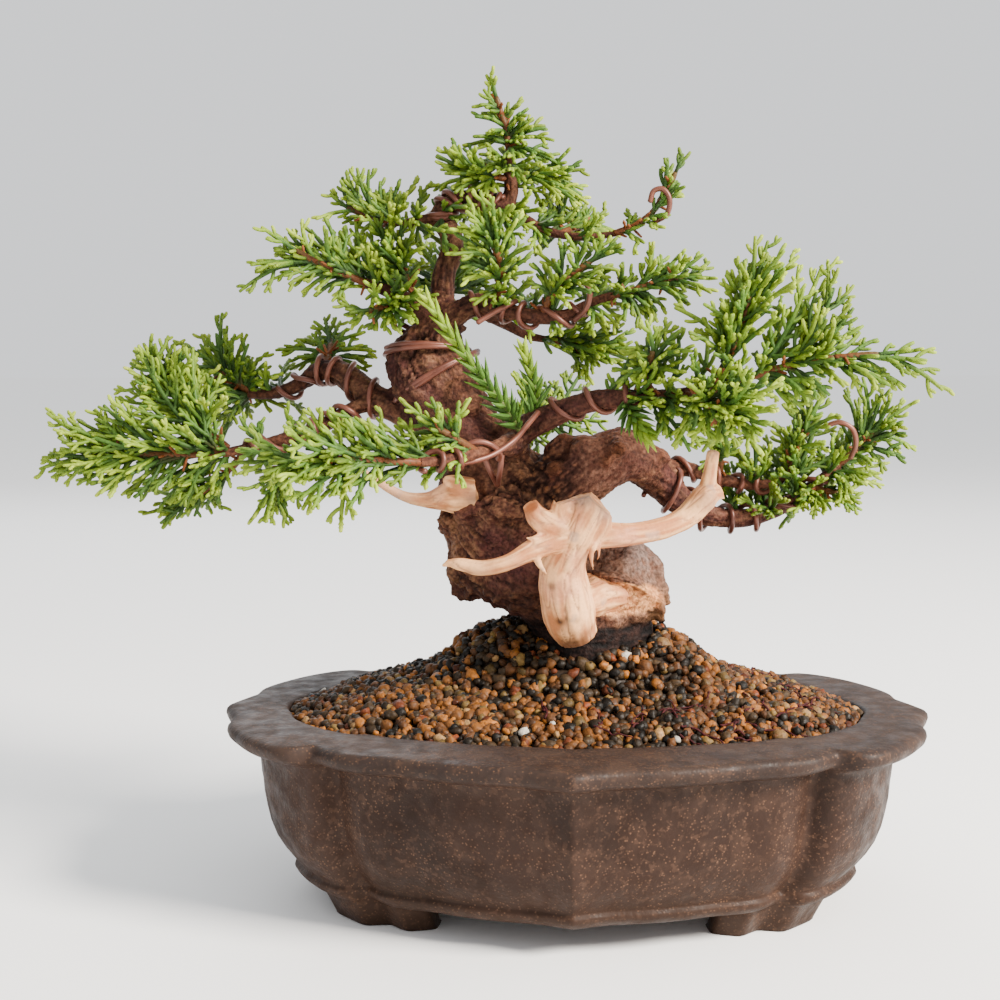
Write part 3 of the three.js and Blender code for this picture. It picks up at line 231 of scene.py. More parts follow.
def evaluated(points, faces, *modifiers):
    """Points and triangles after Blender's modifiers, each (kind, settings)."""
    obj = placed("work", make_mesh("work", points, faces))
    for kind, settings in modifiers:
        modifier = obj.modifiers.new(kind, kind)
        for key, value in settings.items():
            setattr(modifier, key, value)
    made = obj.evaluated_get(bpy.context.evaluated_depsgraph_get()).to_mesh()
    made.calc_loop_triangles()
    points = np.empty(len(made.vertices) * 3, np.float32)
    made.vertices.foreach_get("co", points)
    faces = np.empty(len(made.loop_triangles) * 3, np.int32)
    made.loop_triangles.foreach_get("vertices", faces)
    bpy.data.objects.remove(obj)
    return points.reshape(-1, 3).astype(float), faces.reshape(-1, 3)


def fused(shells, voxel, rounds):
    """One skin round overlapping closed shells, with its creases rounded off."""
    return evaluated(
        *merged(shells),
        ("REMESH", {"mode": "VOXEL", "voxel_size": voxel}),
        ("SMOOTH", {"iterations": rounds, "factor": 0.5}),
    )


def normals(points, faces):
    a, b, c = (points[faces[:, k]] for k in range(3))
    face = np.cross(b - a, c - a)
    total = np.zeros_like(points)
    for k in range(3):
        np.add.at(total, faces[:, k], face)
    return unit(total)


def make(name, shell, material, tint=None, replaces=()):
    """A finished piece. tint is a colour for each point."""
    points, faces = shell
    mesh = make_mesh(name, (points + SHIFT) / 1000, faces)
    mesh.polygons.foreach_set("use_smooth", np.ones(len(faces), bool))
    if tint is not None:
        colours = np.ones((len(points), 4), np.float32)
        colours[:, :3] = np.clip(tint, 0, 1)
        layer = mesh.attributes.new("tint", "FLOAT_COLOR", "POINT")
        layer.data.foreach_set("color", colours.ravel())
    mesh.materials.append(material)
    obj = placed(name, mesh)
    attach(obj, "root")
    if replaces:
        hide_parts(*replaces)


# ---- Materials -----------------------------------------------------------------------------
class Finish:
    """A node-built material on one Principled shader."""

    def __init__(self, name, **sockets):
        self.material = bpy.data.materials.new(name)
        self.material.use_nodes = True
        self.tree = self.material.node_tree
        self.shader = self.tree.nodes["Principled BSDF"]
        for key, value in sockets.items():
            self.shader.inputs[key.replace("_", " ")].default_value = value
        self.place = self.node("ShaderNodeTexCoord").outputs["Object"]

    def node(self, kind, inputs=(), **settings):
        made = self.tree.nodes.new(kind)
        for key, value in settings.items():
            setattr(made, key, value)
        for key, value in dict(inputs).items():
            if isinstance(value, bpy.types.NodeSocket):
                self.tree.links.new(value, made.inputs[key])
            else:
                made.inputs[key].default_value = value
        return made

    def join(self, socket, key):
        self.tree.links.new(socket, self.shader.inputs[key])

    def grain(self, size_mm, detail, distortion=0.0):
        return self.node("ShaderNodeTexNoise", {
            "Vector": self.place, "Scale": 1000 / size_mm, "Detail": detail,
            "Distortion": distortion,
        }).outputs["Fac"]

    def specks(self, size_mm, radius, share):
        """1 inside small dots about size_mm apart, of which only a share is there."""
        cells = self.node("ShaderNodeTexVoronoi", {"Vector": self.place, "Scale": 1000 / size_mm})
        inside = self.range(cells.outputs["Distance"], radius * 0.3, radius, 1, 0)
        chosen = self.range(cells.outputs["Color"], 1 - share - 0.05, 1 - share + 0.05)
        return self.times(inside, chosen)

    def range(self, value, low, high, to_low=0, to_high=1):
        return self.node("ShaderNodeMapRange", {
            "Value": value, "From Min": low, "From Max": high, "To Min": to_low, "To Max": to_high,
        }).outputs[0]

    def times(self, a, b):
        return self.node("ShaderNodeMath", {0: a, 1: b}, operation="MULTIPLY").outputs[0]

    def blend(self, share, a, b, how="MIX"):
        a, b = ((*c, 1) if isinstance(c, tuple) else c for c in (a, b))
        made = self.node("ShaderNodeMix", {0: share, 6: a, 7: b}, data_type="RGBA", blend_type=how)
        return made.outputs[2]

    def bump(self, height, depth_mm):
        made = self.node("ShaderNodeBump", {"Height": height, "Distance": depth_mm / 1000})
        self.join(made.outputs[0], "Normal")


def stoneware():
    """Dark clay with dust, a greyer rim, a browner foot and tan flecks and specks in patches."""
    f = Finish("stoneware", Specular_IOR_Level=0.13)
    clay = f.range(f.grain(28, 4), 0.35, 0.65)
    clay = f.blend(clay, (0.014, 0.0065, 0.004), (0.029, 0.014, 0.009))
    dust = f.range(f.grain(7, 5, 0.6), 0.52, 0.7, 0, 0.35)
    clay = f.blend(dust, clay, (0.054, 0.029, 0.019))
    height = f.node("ShaderNodeSeparateXYZ", {0: f.place}).outputs["Z"]
    grey = f.range(f.grain(9, 4), 0.42, 0.66)
    grey = f.blend(grey, (0.025, 0.017, 0.0145), (0.042, 0.026, 0.0195))
    clay = f.blend(f.range(height, 0.0455, 0.0508, 0, 0.85), clay, grey)
    clay = f.blend(f.range(height, 0.024, 0.006, 0, 0.5), clay, (0.040, 0.021, 0.013))
    patches = f.range(f.grain(14, 4), 0.4, 0.58, 0.35, 0.85)
    flecks = f.range(f.grain(1.6, 3, 0.4), 0.55, 0.64, 0, 0.55)
    clay = f.blend(f.times(flecks, patches), clay, (0.075, 0.039, 0.024))
    clay = f.blend(f.times(f.specks(0.85, 0.36, 0.55), patches), clay, (0.12, 0.062, 0.035))
    f.join(clay, "Base Color")
    f.join(f.range(f.grain(5, 4), 0.35, 0.65, 0.42, 0.68), "Roughness")
    relief = {0: f.grain(1.1, 3), 1: f.times(f.grain(6, 2), 0.8)}
    f.bump(f.node("ShaderNodeMath", relief, operation="ADD").outputs[0], 0.16)
    return f.material


def tinted(name, size_mm, variation, rough, depth_mm, **sockets):
    """The piece's own colours, broken up by a fine grain that also gives the relief."""
    f = Finish(name, **sockets)
    fine = f.grain(size_mm, 4)
    shade = f.range(fine, 0.3, 0.7, 1 - variation, 1 + variation)
    grey = f.node("ShaderNodeCombineColor", {0: shade, 1: shade, 2: shade}).outputs[0]
    tint = f.node("ShaderNodeVertexColor", layer_name="tint").outputs["Color"]
    f.join(f.blend(1.0, tint, grey, "MULTIPLY"), "Base Color")
    f.join(f.range(f.grain(size_mm * 2.5, 2), 0.3, 0.7, *rough), "Roughness")
    f.bump(fine, depth_mm)
    return f.material


def coloured(name, dark, light, size_mm, rough, depth_mm, **sockets):
    """Two colours in a grain."""
    f = Finish(name, **sockets)
    f.join(f.blend(f.range(f.grain(size_mm, 4), 0.35, 0.65), dark, light), "Base Color")
    f.join(f.range(f.grain(size_mm / 2, 3), 0.3, 0.7, *rough), "Roughness")
    f.bump(f.grain(size_mm / 6, 2), depth_mm)
    return f.material


STONEWARE = stoneware()
BARK = tinted("bark", 0.9, 0.55, (0.55, 0.85), 0.5, Specular_IOR_Level=0.12)
DEADWOOD = tinted("deadwood", 0.9, 0.1, (0.5, 0.7), 0.08, Specular_IOR_Level=0.3)
GRANULES = tinted("granules", 0.8, 0.35, (0.4, 0.65), 0.2, Specular_IOR_Level=0.17)
LEAF = tinted("leaf", 0.7, 0.2, (0.45, 0.65), 0.08, Specular_IOR_Level=0.2, Subsurface_Weight=0.12,
              Subsurface_Radius=(0.0006, 0.0009, 0.0003), Subsurface_Scale=1.0)
BROWN_WIRE = coloured("brown_wire", (0.085, 0.025, 0.015), (0.165, 0.053, 0.031),
                      9, (0.36, 0.5), 0.03, Metallic=0.35)
BARE_WIRE = coloured("bare_wire", (0.42, 0.42, 0.43), (0.6, 0.6, 0.6),
                     6, (0.3, 0.5), 0.03, Metallic=1.0)
PLASTIC = coloured("plastic_mesh", (0.012, 0.012, 0.013), (0.03, 0.028, 0.026),
                   4, (0.45, 0.7), 0.05)

# ---- Pot -----------------------------------------------------------------------------------
# A quarter of the rim's outline. The sharp places are the pointed end, the two creases and the
# point in the middle of the long side.
RIM_QUARTER = [
    (100, 0), (97.3, 8), (94.6, 15), (94, 25), (88, 37.5), (81.3, 46.5), (73.6, 52), (66.3, 49.7),
    (61, 56), (54.5, 59.6), (45.5, 62), (36.4, 65.8), (26, 69), (18, 70.5), (12, 71.5), (6, 73.5),
    (2.5, 75), (0, 76),
]
SMOOTH = [(0, 2, 16), (2, 7, 40), (7, 17, 60)]  # from, to and steps of each smooth stretch
POT_HALF = np.array([100.0, 76.0])
MOUTH_HALF = np.array([83.0, 51.0])
RIM_TOP, UNDERSIDE, FLOOR_TOP, SOIL_EDGE = 51.5, 8.0, 15.0, 49.0
INNER_TAPER = 0.8
CLEARANCE = 0.3
DRAIN_X, DRAIN_RADIUS = 35.0, 8.0
CUT_PAST = 3  # how far the drainage cutters reach past the floor


def softened(ring, rounds):
    """A closed ring with its corners rounded off."""
    for _ in range(rounds):
        ring = 0.25 * np.roll(ring, 1, 0) + 0.5 * ring + 0.25 * np.roll(ring, -1, 0)
    return ring


def rim_outline():
    quarter = np.concatenate([spline(RIM_QUARTER[start:stop + 1], np.arange(steps) / steps)
                              for start, stop, steps in SMOOTH])
    half = np.concatenate([quarter, RIM_QUARTER[-1:], quarter[:0:-1] * [-1, 1]])
    return softened(np.concatenate([half, -half]), 3)


OUTLINE = rim_outline()


def level(ring, z):
    """The ring's points at a height, or each at its own."""
    return np.column_stack([ring, np.full(len(ring), z)])


def inner_ring(scale, inset=0.0):
    """The mouth's outline, half way from the lobes to an oval."""
    turn = np.arctan2(OUTLINE[:, 1], OUTLINE[:, 0])
    ray = np.column_stack([np.cos(turn), np.sin(turn)])
    oval = ray / np.linalg.norm(ray / MOUTH_HALF, axis=1, keepdims=True)
    ring = (OUTLINE * MOUTH_HALF / POT_HALF + oval) / 2 * scale
    size = np.linalg.norm(ring, axis=1, keepdims=True)
    return ring * (size - inset) / size


# Heights with the scale of the outline, outside and inside, and the shares across the rim.
OUTER_PROFILE = [
    (8, 0.785), (8.6, 0.797), (9.6, 0.81), (10.6, 0.8165), (11.3, 0.8145), (11.8, 0.807),
    (12.4, 0.806), (14, 0.822), (17, 0.847), (20, 0.866), (24, 0.882), (28, 0.892), (32, 0.9),
    (37, 0.905), (42, 0.909), (44.6, 0.914), (45.5, 0.926), (46, 0.945), (46.4, 0.968), (47, 0.985),
    (48, 0.996), (49.2, 1), (50.2, 0.998), (50.9, 0.991), (51.3, 0.981), (51.5, 0.968),
]
RIM_SHARES = [0.12, 0.3, 0.5, 0.7, 0.88]
INNER_PROFILE = [
    (51.45, 1.0), (51, 0.991), (49.5, 0.985), (44, 0.957), (34, 0.902), (24, 0.848), (17.5, 0.81),
    (15.5, 0.79), (15, 0.765),
]
FOOT_CORNERS = [(37, 34), (38, 43), (46, 45), (51, 39.5), (58, 41), (68, 30), (61, 24), (50, 31)]
# Heights of a foot's levels with their scales along and across.
FOOT_LEVELS = [
    (0, 0.942, 0.915), (0.35, 0.953, 0.928), (1.2, 0.957, 0.934), (4, 0.975, 0.962),
    (6.6, 0.992, 0.99), (9, 1.004, 1.004),
]


def foot(side_x, side_y):
    corners = np.array(FOOT_CORNERS[::-1] if side_x * side_y > 0 else FOOT_CORNERS, float)
    fine = np.array([mix(a, b, s) for a, b in zip(corners, np.roll(corners, -1, 0))
                     for s in (0.0, 0.12, 0.37, 0.63, 0.88)])
    fine = softened(fine, 2) * [side_x, side_y]
    rings = [level(fine * [sx, sy], z) for z, sx, sy in FOOT_LEVELS]
    middle = fine.mean(0)
    return skin(rings, [*(middle * 0.95), 0], [*middle, FOOT_LEVELS[-1][0]])


def boolean(shell, cutters, operation):
    """The shell joined with or cut by other shells."""
    tool = placed("tool", make_mesh("tool", *merged(cutters)))
    settings = {"operation": operation, "solver": "EXACT", "use_self": True, "object": tool}
    result = evaluated(*shell, ("BOOLEAN", settings))
    bpy.data.objects.remove(tool)
    return result


def drain(side):
    """The cutter of a drainage hole."""
    turn = around(40)
    ring = DRAIN_RADIUS * np.column_stack([np.cos(turn), np.sin(turn)]) + [side * DRAIN_X, 0]
    low, high = UNDERSIDE - CUT_PAST, FLOOR_TOP + CUT_PAST
    ends = [[side * DRAIN_X, 0, z] for z in (low, high)]
    return skin([level(ring, low), level(ring, high)], *ends)


def pot_shell():
    rings = [level(OUTLINE * scale, z) for z, scale in OUTER_PROFILE]
    edge, mouth = OUTLINE * OUTER_PROFILE[-1][1], inner_ring(1)
    rings += [level(mix(edge, mouth, share), RIM_TOP + 0.12 * math.sin(math.pi * share))
              for share in RIM_SHARES]
    rings += [level(inner_ring(scale), z) for z, scale in INNER_PROFILE]
    for ring in rings[1:-1]:  # uneven, as thrown by hand
        ring += 0.22 * noise(ring / 21, 5)[:, None] * [1, 1, 0.25]
    inside = [level(inner_ring(scale), FLOOR_TOP) for scale in (0.5, 0.2)]
    below = [level(OUTLINE * scale, UNDERSIDE) for scale in (0.25, 0.55, 0.74)]
    body = skin(below + rings + inside, [0, 0, UNDERSIDE], [0, 0, FLOOR_TOP])
    body = boolean(body, [foot(x, y) for x in (1, -1) for y in (1, -1)], "UNION")
    return boolean(body, [drain(-1), drain(1)], "DIFFERENCE")


make("pot_body", pot_shell(), STONEWARE, replaces=["pot"])

# ---- Soil ----------------------------------------------------------------------------------
# Height of the mound, by how far out a place is: 0 at the trunk, 1 at the pot's wall.
MOUND = np.array([(0, 75), (0.25, 74.5), (0.38, 70.5), (0.45, 65.5), (0.54, 61.5), (0.7, 57.5),
                  (0.85, 54), (1, SOIL_EDGE)])
FRONT_DIP = 7.0
UNDER_GRAINS = 0.9  # how far the mound's skin lies under its granules
EDGE_SCALE = INNER_TAPER + (1 - INNER_TAPER) * (SOIL_EDGE - FLOOR_TOP) / (RIM_TOP - FLOOR_TOP)
EDGE_RING = inner_ring(EDGE_SCALE, CLEARANCE)
EDGE_TURN = np.arctan2(EDGE_RING[:, 1], EDGE_RING[:, 0])
EDGE_REACH = np.linalg.norm(EDGE_RING, axis=1)
BY_TURN = np.argsort(EDGE_TURN)


def mound_height(places):
    """Height of the soil at places (x, y), and how far out each one is."""
    size = np.linalg.norm(places, axis=-1)
    turn = np.arctan2(places[..., 1], places[..., 0])
    reach = np.interp(turn, EDGE_TURN[BY_TURN], EDGE_REACH[BY_TURN], period=2 * math.pi)
    out = np.clip(size / reach, 0, 1)
    front = np.clip(-places[..., 1] / np.maximum(size, 1e-6), 0, 1)
    height = np.interp(out, MOUND[:, 0], MOUND[:, 1]) - FRONT_DIP * front * (1 - out)
    return height + 0.8 * noise(level(places / 9, 0), 21), out


def mound_shell():
    foot_height = FLOOR_TOP + CLEARANCE
    rings = [level(inner_ring(INNER_TAPER * 0.99, CLEARANCE), foot_height)]
    for share in np.linspace(1, 0.04, 44):
        ring = EDGE_RING * share
        rings.append(level(ring, mound_height(ring)[0] - UNDER_GRAINS))
    return skin(rings, [0, 0, foot_height], [0, 0, 72])


# The mound's skin is near black: painted shade in the gaps between the granules.
make("soil_mound", mound_shell(), GRANULES,
     tint=np.array([(0.018, 0.011, 0.007)]), replaces=["soil"])

# Colours of the granules with how common each is, and the same in the dark patches,
# which are partly painted shade of the trunk.
GRAIN_COLOURS = np.array([
    (0.47, 0.165, 0.028), (0.31, 0.115, 0.027), (0.155, 0.062, 0.021), (0.066, 0.038, 0.017),
    (0.019, 0.013, 0.008), (0.42, 0.235, 0.09), (0.24, 0.058, 0.018), (0.70, 0.64, 0.54),
    (0.26, 0.155, 0.045),
])
GRAIN_SHARES = np.array([0.15, 0.20, 0.23, 0.15, 0.12, 0.05, 0.037, 0.003, 0.06])
DARK_SHARES = np.array([0.05, 0.09, 0.20, 0.27, 0.28, 0.025, 0.038, 0.002, 0.045])
# Layers of granules: spacing, least and greatest size, lift.
GRAIN_LAYERS = [(2.3, 1.9, 3.9, 0.2), (2.9, 1.3, 2.9, 0.9)]
TRUNK_AT, TRUNK_HALF = [6, 0], [15.5, 14.5]  # where the trunk leaves no room for granules


def grains(half, seed):
    """Loose granules over the front or the back half of the mound."""
    rng = np.random.default_rng(seed)
    shape, faces = ball(1)
    shells, tints = {"left": [], "right": []}, {"left": [], "right": []}
    for spacing, small, large, lift in GRAIN_LAYERS:
        xs = np.arange(-90, 90, spacing)
        ys = np.arange(-56, 56, spacing * 0.87)
        grid = np.array([(x + (j % 2) * spacing / 2, y) for j, y in enumerate(ys) for x in xs])
        grid += rng.uniform(-0.42, 0.42, grid.shape) * spacing
        height, out = mound_height(grid)
        sizes = rng.uniform(small, large, len(grid)) / 2
        in_trunk = np.linalg.norm((grid - TRUNK_AT) / TRUNK_HALF, axis=1) < 1
        kept = (out < 0.995) & (out * 70 < 70 - sizes * 0.4) & ~in_trunk
        kept &= (grid[:, 1] < 0) if half == "front" else (grid[:, 1] >= 0)
        # Darker patches by noise, and painted shade of the trunk on the inner left of the mound.
        dark = ramp(noise(level(grid / 24, 3), 8)
                    + np.where((grid[:, 0] < 0) & (out < 0.55), 0.5, 0), 0.05, 0.5)
        for i in np.flatnonzero(kept):
            turn = np.linalg.qr(rng.normal(size=(3, 3)))[0]
            if np.linalg.det(turn) < 0:
                turn[0] *= -1
            axes = rng.uniform(0.78, 1.2, 3) * sizes[i]
            lumps = 1 + 0.24 * rng.uniform(-1, 1, len(shape))[:, None]
            at = [*grid[i], height[i] + lift + rng.uniform(-0.3, 0.5)]
            side = "left" if grid[i, 0] < 0 else "right"
            shells[side].append((shape * lumps * axes @ turn.T + at, faces))
            chances = mix(GRAIN_SHARES, DARK_SHARES, dark[i])
            colour = GRAIN_COLOURS[rng.choice(len(GRAIN_COLOURS), p=chances / chances.sum())]
            tints[side].append(np.tile(colour * rng.uniform(0.16, 0.68), (len(shape), 1)))
    for side, some in shells.items():
        make(f"soil_grains_{half}_{side}", merged(some), GRANULES,
             tint=np.concatenate(tints[side]))


grains("front", 41)
grains("back", 42)

# ---- Living wood ---------------------------------------------------------------------------
# Level sections of the trunk: [height, x, y, half width, half depth].
TRUNK = [
    (50, 6, 0, 24, 22), (58, 5, 0, 20, 19), (66, 5, 0, 18, 17), (74, 4, 0, 17.5, 17),
    (80, 0, 0, 19.5, 18), (86, -7, 1, 24.5, 20), (92, -10.5, 2, 23.5, 21), (99, -14, 3, 22, 20.5),
    (106, -17, 4, 21, 19), (113, -20, 4, 18.5, 17.5), (120, -23, 4, 15.5, 15.5),
    (127, -28, 3, 14, 14), (134, -34, 1, 13.5, 13), (141, -38.5, 0, 13.5, 12.5),
    (148, -40.5, 0, 12.3, 11.5), (154, -40.5, 0, 10.5, 10), (159, -39, 0, 7.5, 7.5),
    (164, -37, 1, 4.5, 4.5),
]
TRUNK_ROWS = spline(TRUNK, np.linspace(0, 1, 110))
TRUNK_SIDES = 64
# Each branch as places [x, z, y, radius].
BRANCHES = {
    "leader": [
        (-37.5, 158, 0, 5.5), (-37, 166, 2, 4.2), (-36, 174, 3, 3.7), (-34, 180, 4, 3.5),
        (-34.5, 185, 4, 3.4), (-37, 189, 3, 3.3), (-34.5, 193, 2, 3.3), (-29, 194.5, 1, 3.2),
        (-23.5, 193, 1, 3.2), (-20, 191.5, 1, 3), (-17.5, 196, 2, 2.8), (-18, 202, 2, 2.4),
        (-18, 208, 2, 1.8),
    ],
    "right": [
        (-12, 112, 0, 10), (-2, 116, -2, 9.5), (7, 120.5, -3, 9), (14, 123, -2, 8),
        (19.5, 120, 2, 6.4), (25, 115, 6, 5.2), (30, 110, 8, 4.6), (36, 106.5, 10, 4),
        (44, 105, 12, 3.7), (52, 106, 14, 3.3), (60, 109.5, 16, 3), (67, 114.5, 18, 2.6),
        (74, 120, 20, 2.1),
    ],
    "right_upper": [(17, 121, 3, 4), (25, 119.5, 8, 3), (33, 118.5, 11, 2.7), (42, 116, 13, 2.5),
                    (51, 114.5, 14, 2.2), (60, 116, 14, 2)],
    "left": [(-34, 133, 0, 7), (-42, 133.5, 0, 5.6), (-49, 135.5, 2, 4.7), (-56, 139, 4, 4.3),
             (-62, 143.5, 6, 4.1), (-67, 146.5, 8, 3.9), (-72, 146.5, 10, 3.6), (-77, 143, 12, 3),
             (-84, 140.5, 14, 2.6), (-92, 140, 16, 2.1)],
    "left_low": [(-54, 138, 3, 3.4), (-61, 136.5, 0, 3), (-67, 133.5, -3, 2.8), (-74, 130, -6, 2.6),
                 (-83, 127, -8, 2.4), (-92, 125, -9, 2.1), (-100, 123.5, -9, 1.8)],
    "front_left": [(-16, 126, -6, 4.5), (-18, 126, -20, 3.6), (-22, 125, -31, 2.9),
                   (-29, 123, -41, 2.5), (-37, 121.5, -48, 2.2), (-44, 121, -53, 1.9)],
    "front_right": [
        (-18, 128, -4, 5), (-11, 131.5, -15, 4), (-3, 135.5, -20, 3.6), (5, 138, -24, 3.3),
        (14, 139, -28, 3), (26, 139.5, -32, 2.7), (38, 141.5, -36, 2.4), (50, 145, -38, 2),
    ],
    "upper_right": [
        (-38, 159, 0, 4.8), (-31, 163.5, -3, 3.8), (-25, 165, -5, 3.4), (-18, 163, -7, 3),
        (-10, 161.5, -8, 2.8), (-2, 162, -8, 2.6), (4, 165, -8, 2.2), (11, 167.5, -8, 1.9),
    ],
    "under_right": [(-25, 163, -4, 2.8), (-18, 159, 1, 2.3), (-12, 156, 5, 2), (-5, 155, 7, 1.7)],
    "upper_left": [
        (-38, 160, 0, 4.4), (-44, 165, -2, 3.2), (-51, 168.5, -4, 2.6), (-59, 171.5, -6, 2),
    ],
    "crown_left": [(-36, 188, 3, 3), (-42, 188.5, 1, 2.3), (-48, 187.5, 0, 1.7)],
    "crown_right": [(-21, 192, 1, 2.8), (-14, 188.5, 0, 2.2), (-7, 185, -2, 2), (3, 183.5, -3, 1.8),
                    (12, 184.5, -4, 1.6)],
    "back": [(-24, 124, 6, 6), (-19, 127, 20, 3.8), (-14, 130, 29, 3), (-8, 132.5, 37, 2.2)],
    "back_high": [(-39, 154, 2, 5), (-38, 161, 12, 3.4), (-36, 166, 20, 2.6), (-35, 169, 27, 2)],
}
# Swellings and burrs on the wood: [place x, z, y], [half sizes].
KNOBS = [
    ((11.5, 86.5, -2), (14.5, 14, 14)), ((-29, 90, 2), (6, 8, 7)), ((-32, 104, -2), (7, 6, 5)),
    ((2, 124, -8), (4, 3.5, 4)), ((12.5, 125, -9), (4, 3.5, 4)), ((-4, 125, -4), (4.5, 3.5, 4)),
    ((-46, 142, -8), (5, 4, 6)), ((-20, 108, -14), (7, 5, 6)), ((-31, 139, -9), (6, 5, 6)),
]
# Cut stubs, from inside the wood to the sawn end: [x, z, y, radius].
STUBS = [
    [(12, 122, -6, 3.6), (12.4, 124.4, -11, 3.3), (12.6, 124.8, -13.2, 2.9)],
    [(9, 119.5, -8, 2.6), (9.4, 121.6, -12.4, 2.2)], [(-5, 117, -6, 3), (-5.2, 119.6, -11.5, 2.5)],
    [(-29, 107, -10, 4.5), (-31, 109, -16.6, 3.7)], [(2.5, 122, -5, 4), (2.6, 128.4, -6, 3.4)],
    [(-2.5, 122, -4, 3), (-3, 129, -5, 2.4)], [(22, 119, 1, 3), (25.5, 123.5, -1, 2.6)],
]
# The torn edge of the bark over the bare wood at the foot.
RIDGE = [(4, 90, -15, 1.3), (9, 88.9, -16.3, 1.8), (15, 87.3, -15.8, 2.0), (20, 84.8, -13.6, 1.8),
         (24, 81, -9.6, 1.8), (25, 76, -5, 1.4)]
WOOD_VOXEL, DEADWOOD_VOXEL = 0.645, 0.36
CHUNK = 3000  # points handled at a time


def in_space(rows):
    """Rows [x, z, y, radius], x and z as they appear, as [x, y, z, radius] in space."""
    rows = np.asarray(rows, float)
    return np.column_stack([seen(rows[:, :3]), rows[:, 3]])


def limb_rows(rows, spacing=1.2):
    """A path of [x, y, z, radius] at an even spacing through given places."""
    fixed = in_space(rows)
    length = np.linalg.norm(np.diff(fixed[:, :3], axis=0), axis=1).sum()
    return spline(fixed, np.linspace(0, 1, max(int(length / spacing), 3)))


def limb(rows, sides=14, spacing=1.2):
    path = limb_rows(rows, spacing)
    return tubes(path[None, :, :3], np.repeat(path[None, :, 3:], sides, 2))


def trunk_path():
    z, x, y, wide, deep = TRUNK_ROWS.T
    return np.column_stack([x, y, z, (wide + deep) / 2])


def trunk_shell():
    turn = around(TRUNK_SIDES)
    rings = []
    for z, x, y, wide, deep in TRUNK_ROWS:
        lumps = 1 + 0.05 * np.sin(3 * turn + 0.19 * z) + 0.04 * np.sin(5 * turn - 0.31 * z)
        ring = [x + np.cos(turn) * wide * lumps, y + np.sin(turn) * deep * lumps]
        rings.append(level(np.column_stack(ring), z))
    return skin(rings, [6, 0, 50], [-37, 1, 165.5])


def knob(at, half_sizes):
    points, faces = ball(3)
    lumpy = points * (1 + 0.12 * noise(points * 2.3 + at[0], 31))[:, None]
    return lumpy * half_sizes + seen(at), faces


def slimmer(radius):
    """How much the finished bark of a thin branch lies inside its radius."""
    return 0.55 * ramp(radius, 5.5, 3.5)


def frames_along(paths):
    """Samples along paths: their places, the frames there, the runs and the radii."""
    samples = []
    for path in paths:
        places = path[:, :3]
        along = unit(np.gradient(places, axis=0))
        across = np.empty_like(along)
        side = np.array([0.31, -0.95, 0.07])
        for i, t in enumerate(along):
            side = unit(side - side @ t * t)
            across[i] = side
        run = np.concatenate([[0], np.cumsum(np.linalg.norm(np.diff(places, axis=0), axis=1))])
        samples.append((places, along, across, np.cross(along, across), run, path[:, 3]))
    return [np.concatenate(column) for column in zip(*samples)]


def along_limbs(points, paths):
    """Each point as (run along its limb, two offsets across it), with the limb's radius."""
    places, along, across, up, run, radius = frames_along(paths)
    result = np.empty((len(points), 4))
    for start in range(0, len(points), CHUNK):
        part = points[start:start + CHUNK]
        near = (np.linalg.norm(part[:, None] - places, axis=2) - radius).argmin(1)
        offset = part - places[near]
        result[start:start + CHUNK] = np.column_stack([
            run[near] + np.sum(offset * along[near], 1), np.sum(offset * across[near], 1),
            np.sum(offset * up[near], 1), radius[near]])
    return result


def fibres(a, b, run, width, length, seed, layers):
    """Noise drawn out along the limbs."""
    return layered(np.column_stack([a / width, b / width, run / length]), seed, layers)


def patch(points, at, size):
    """1 near a place [x, z, y], fading out over size."""
    return np.exp(-np.sum(((points - seen(at)) / size) ** 2, 1))


def sawn(points, at, way, reach=7.0):
    """Points beyond a plane near a place, laid on the plane."""
    way = unit([way[0], way[2], way[1]])
    offset = points - seen(at)
    past = np.where(np.linalg.norm(offset, axis=1) < reach, np.clip(offset @ way, 0, None), 0)
    return points - past[:, None] * way


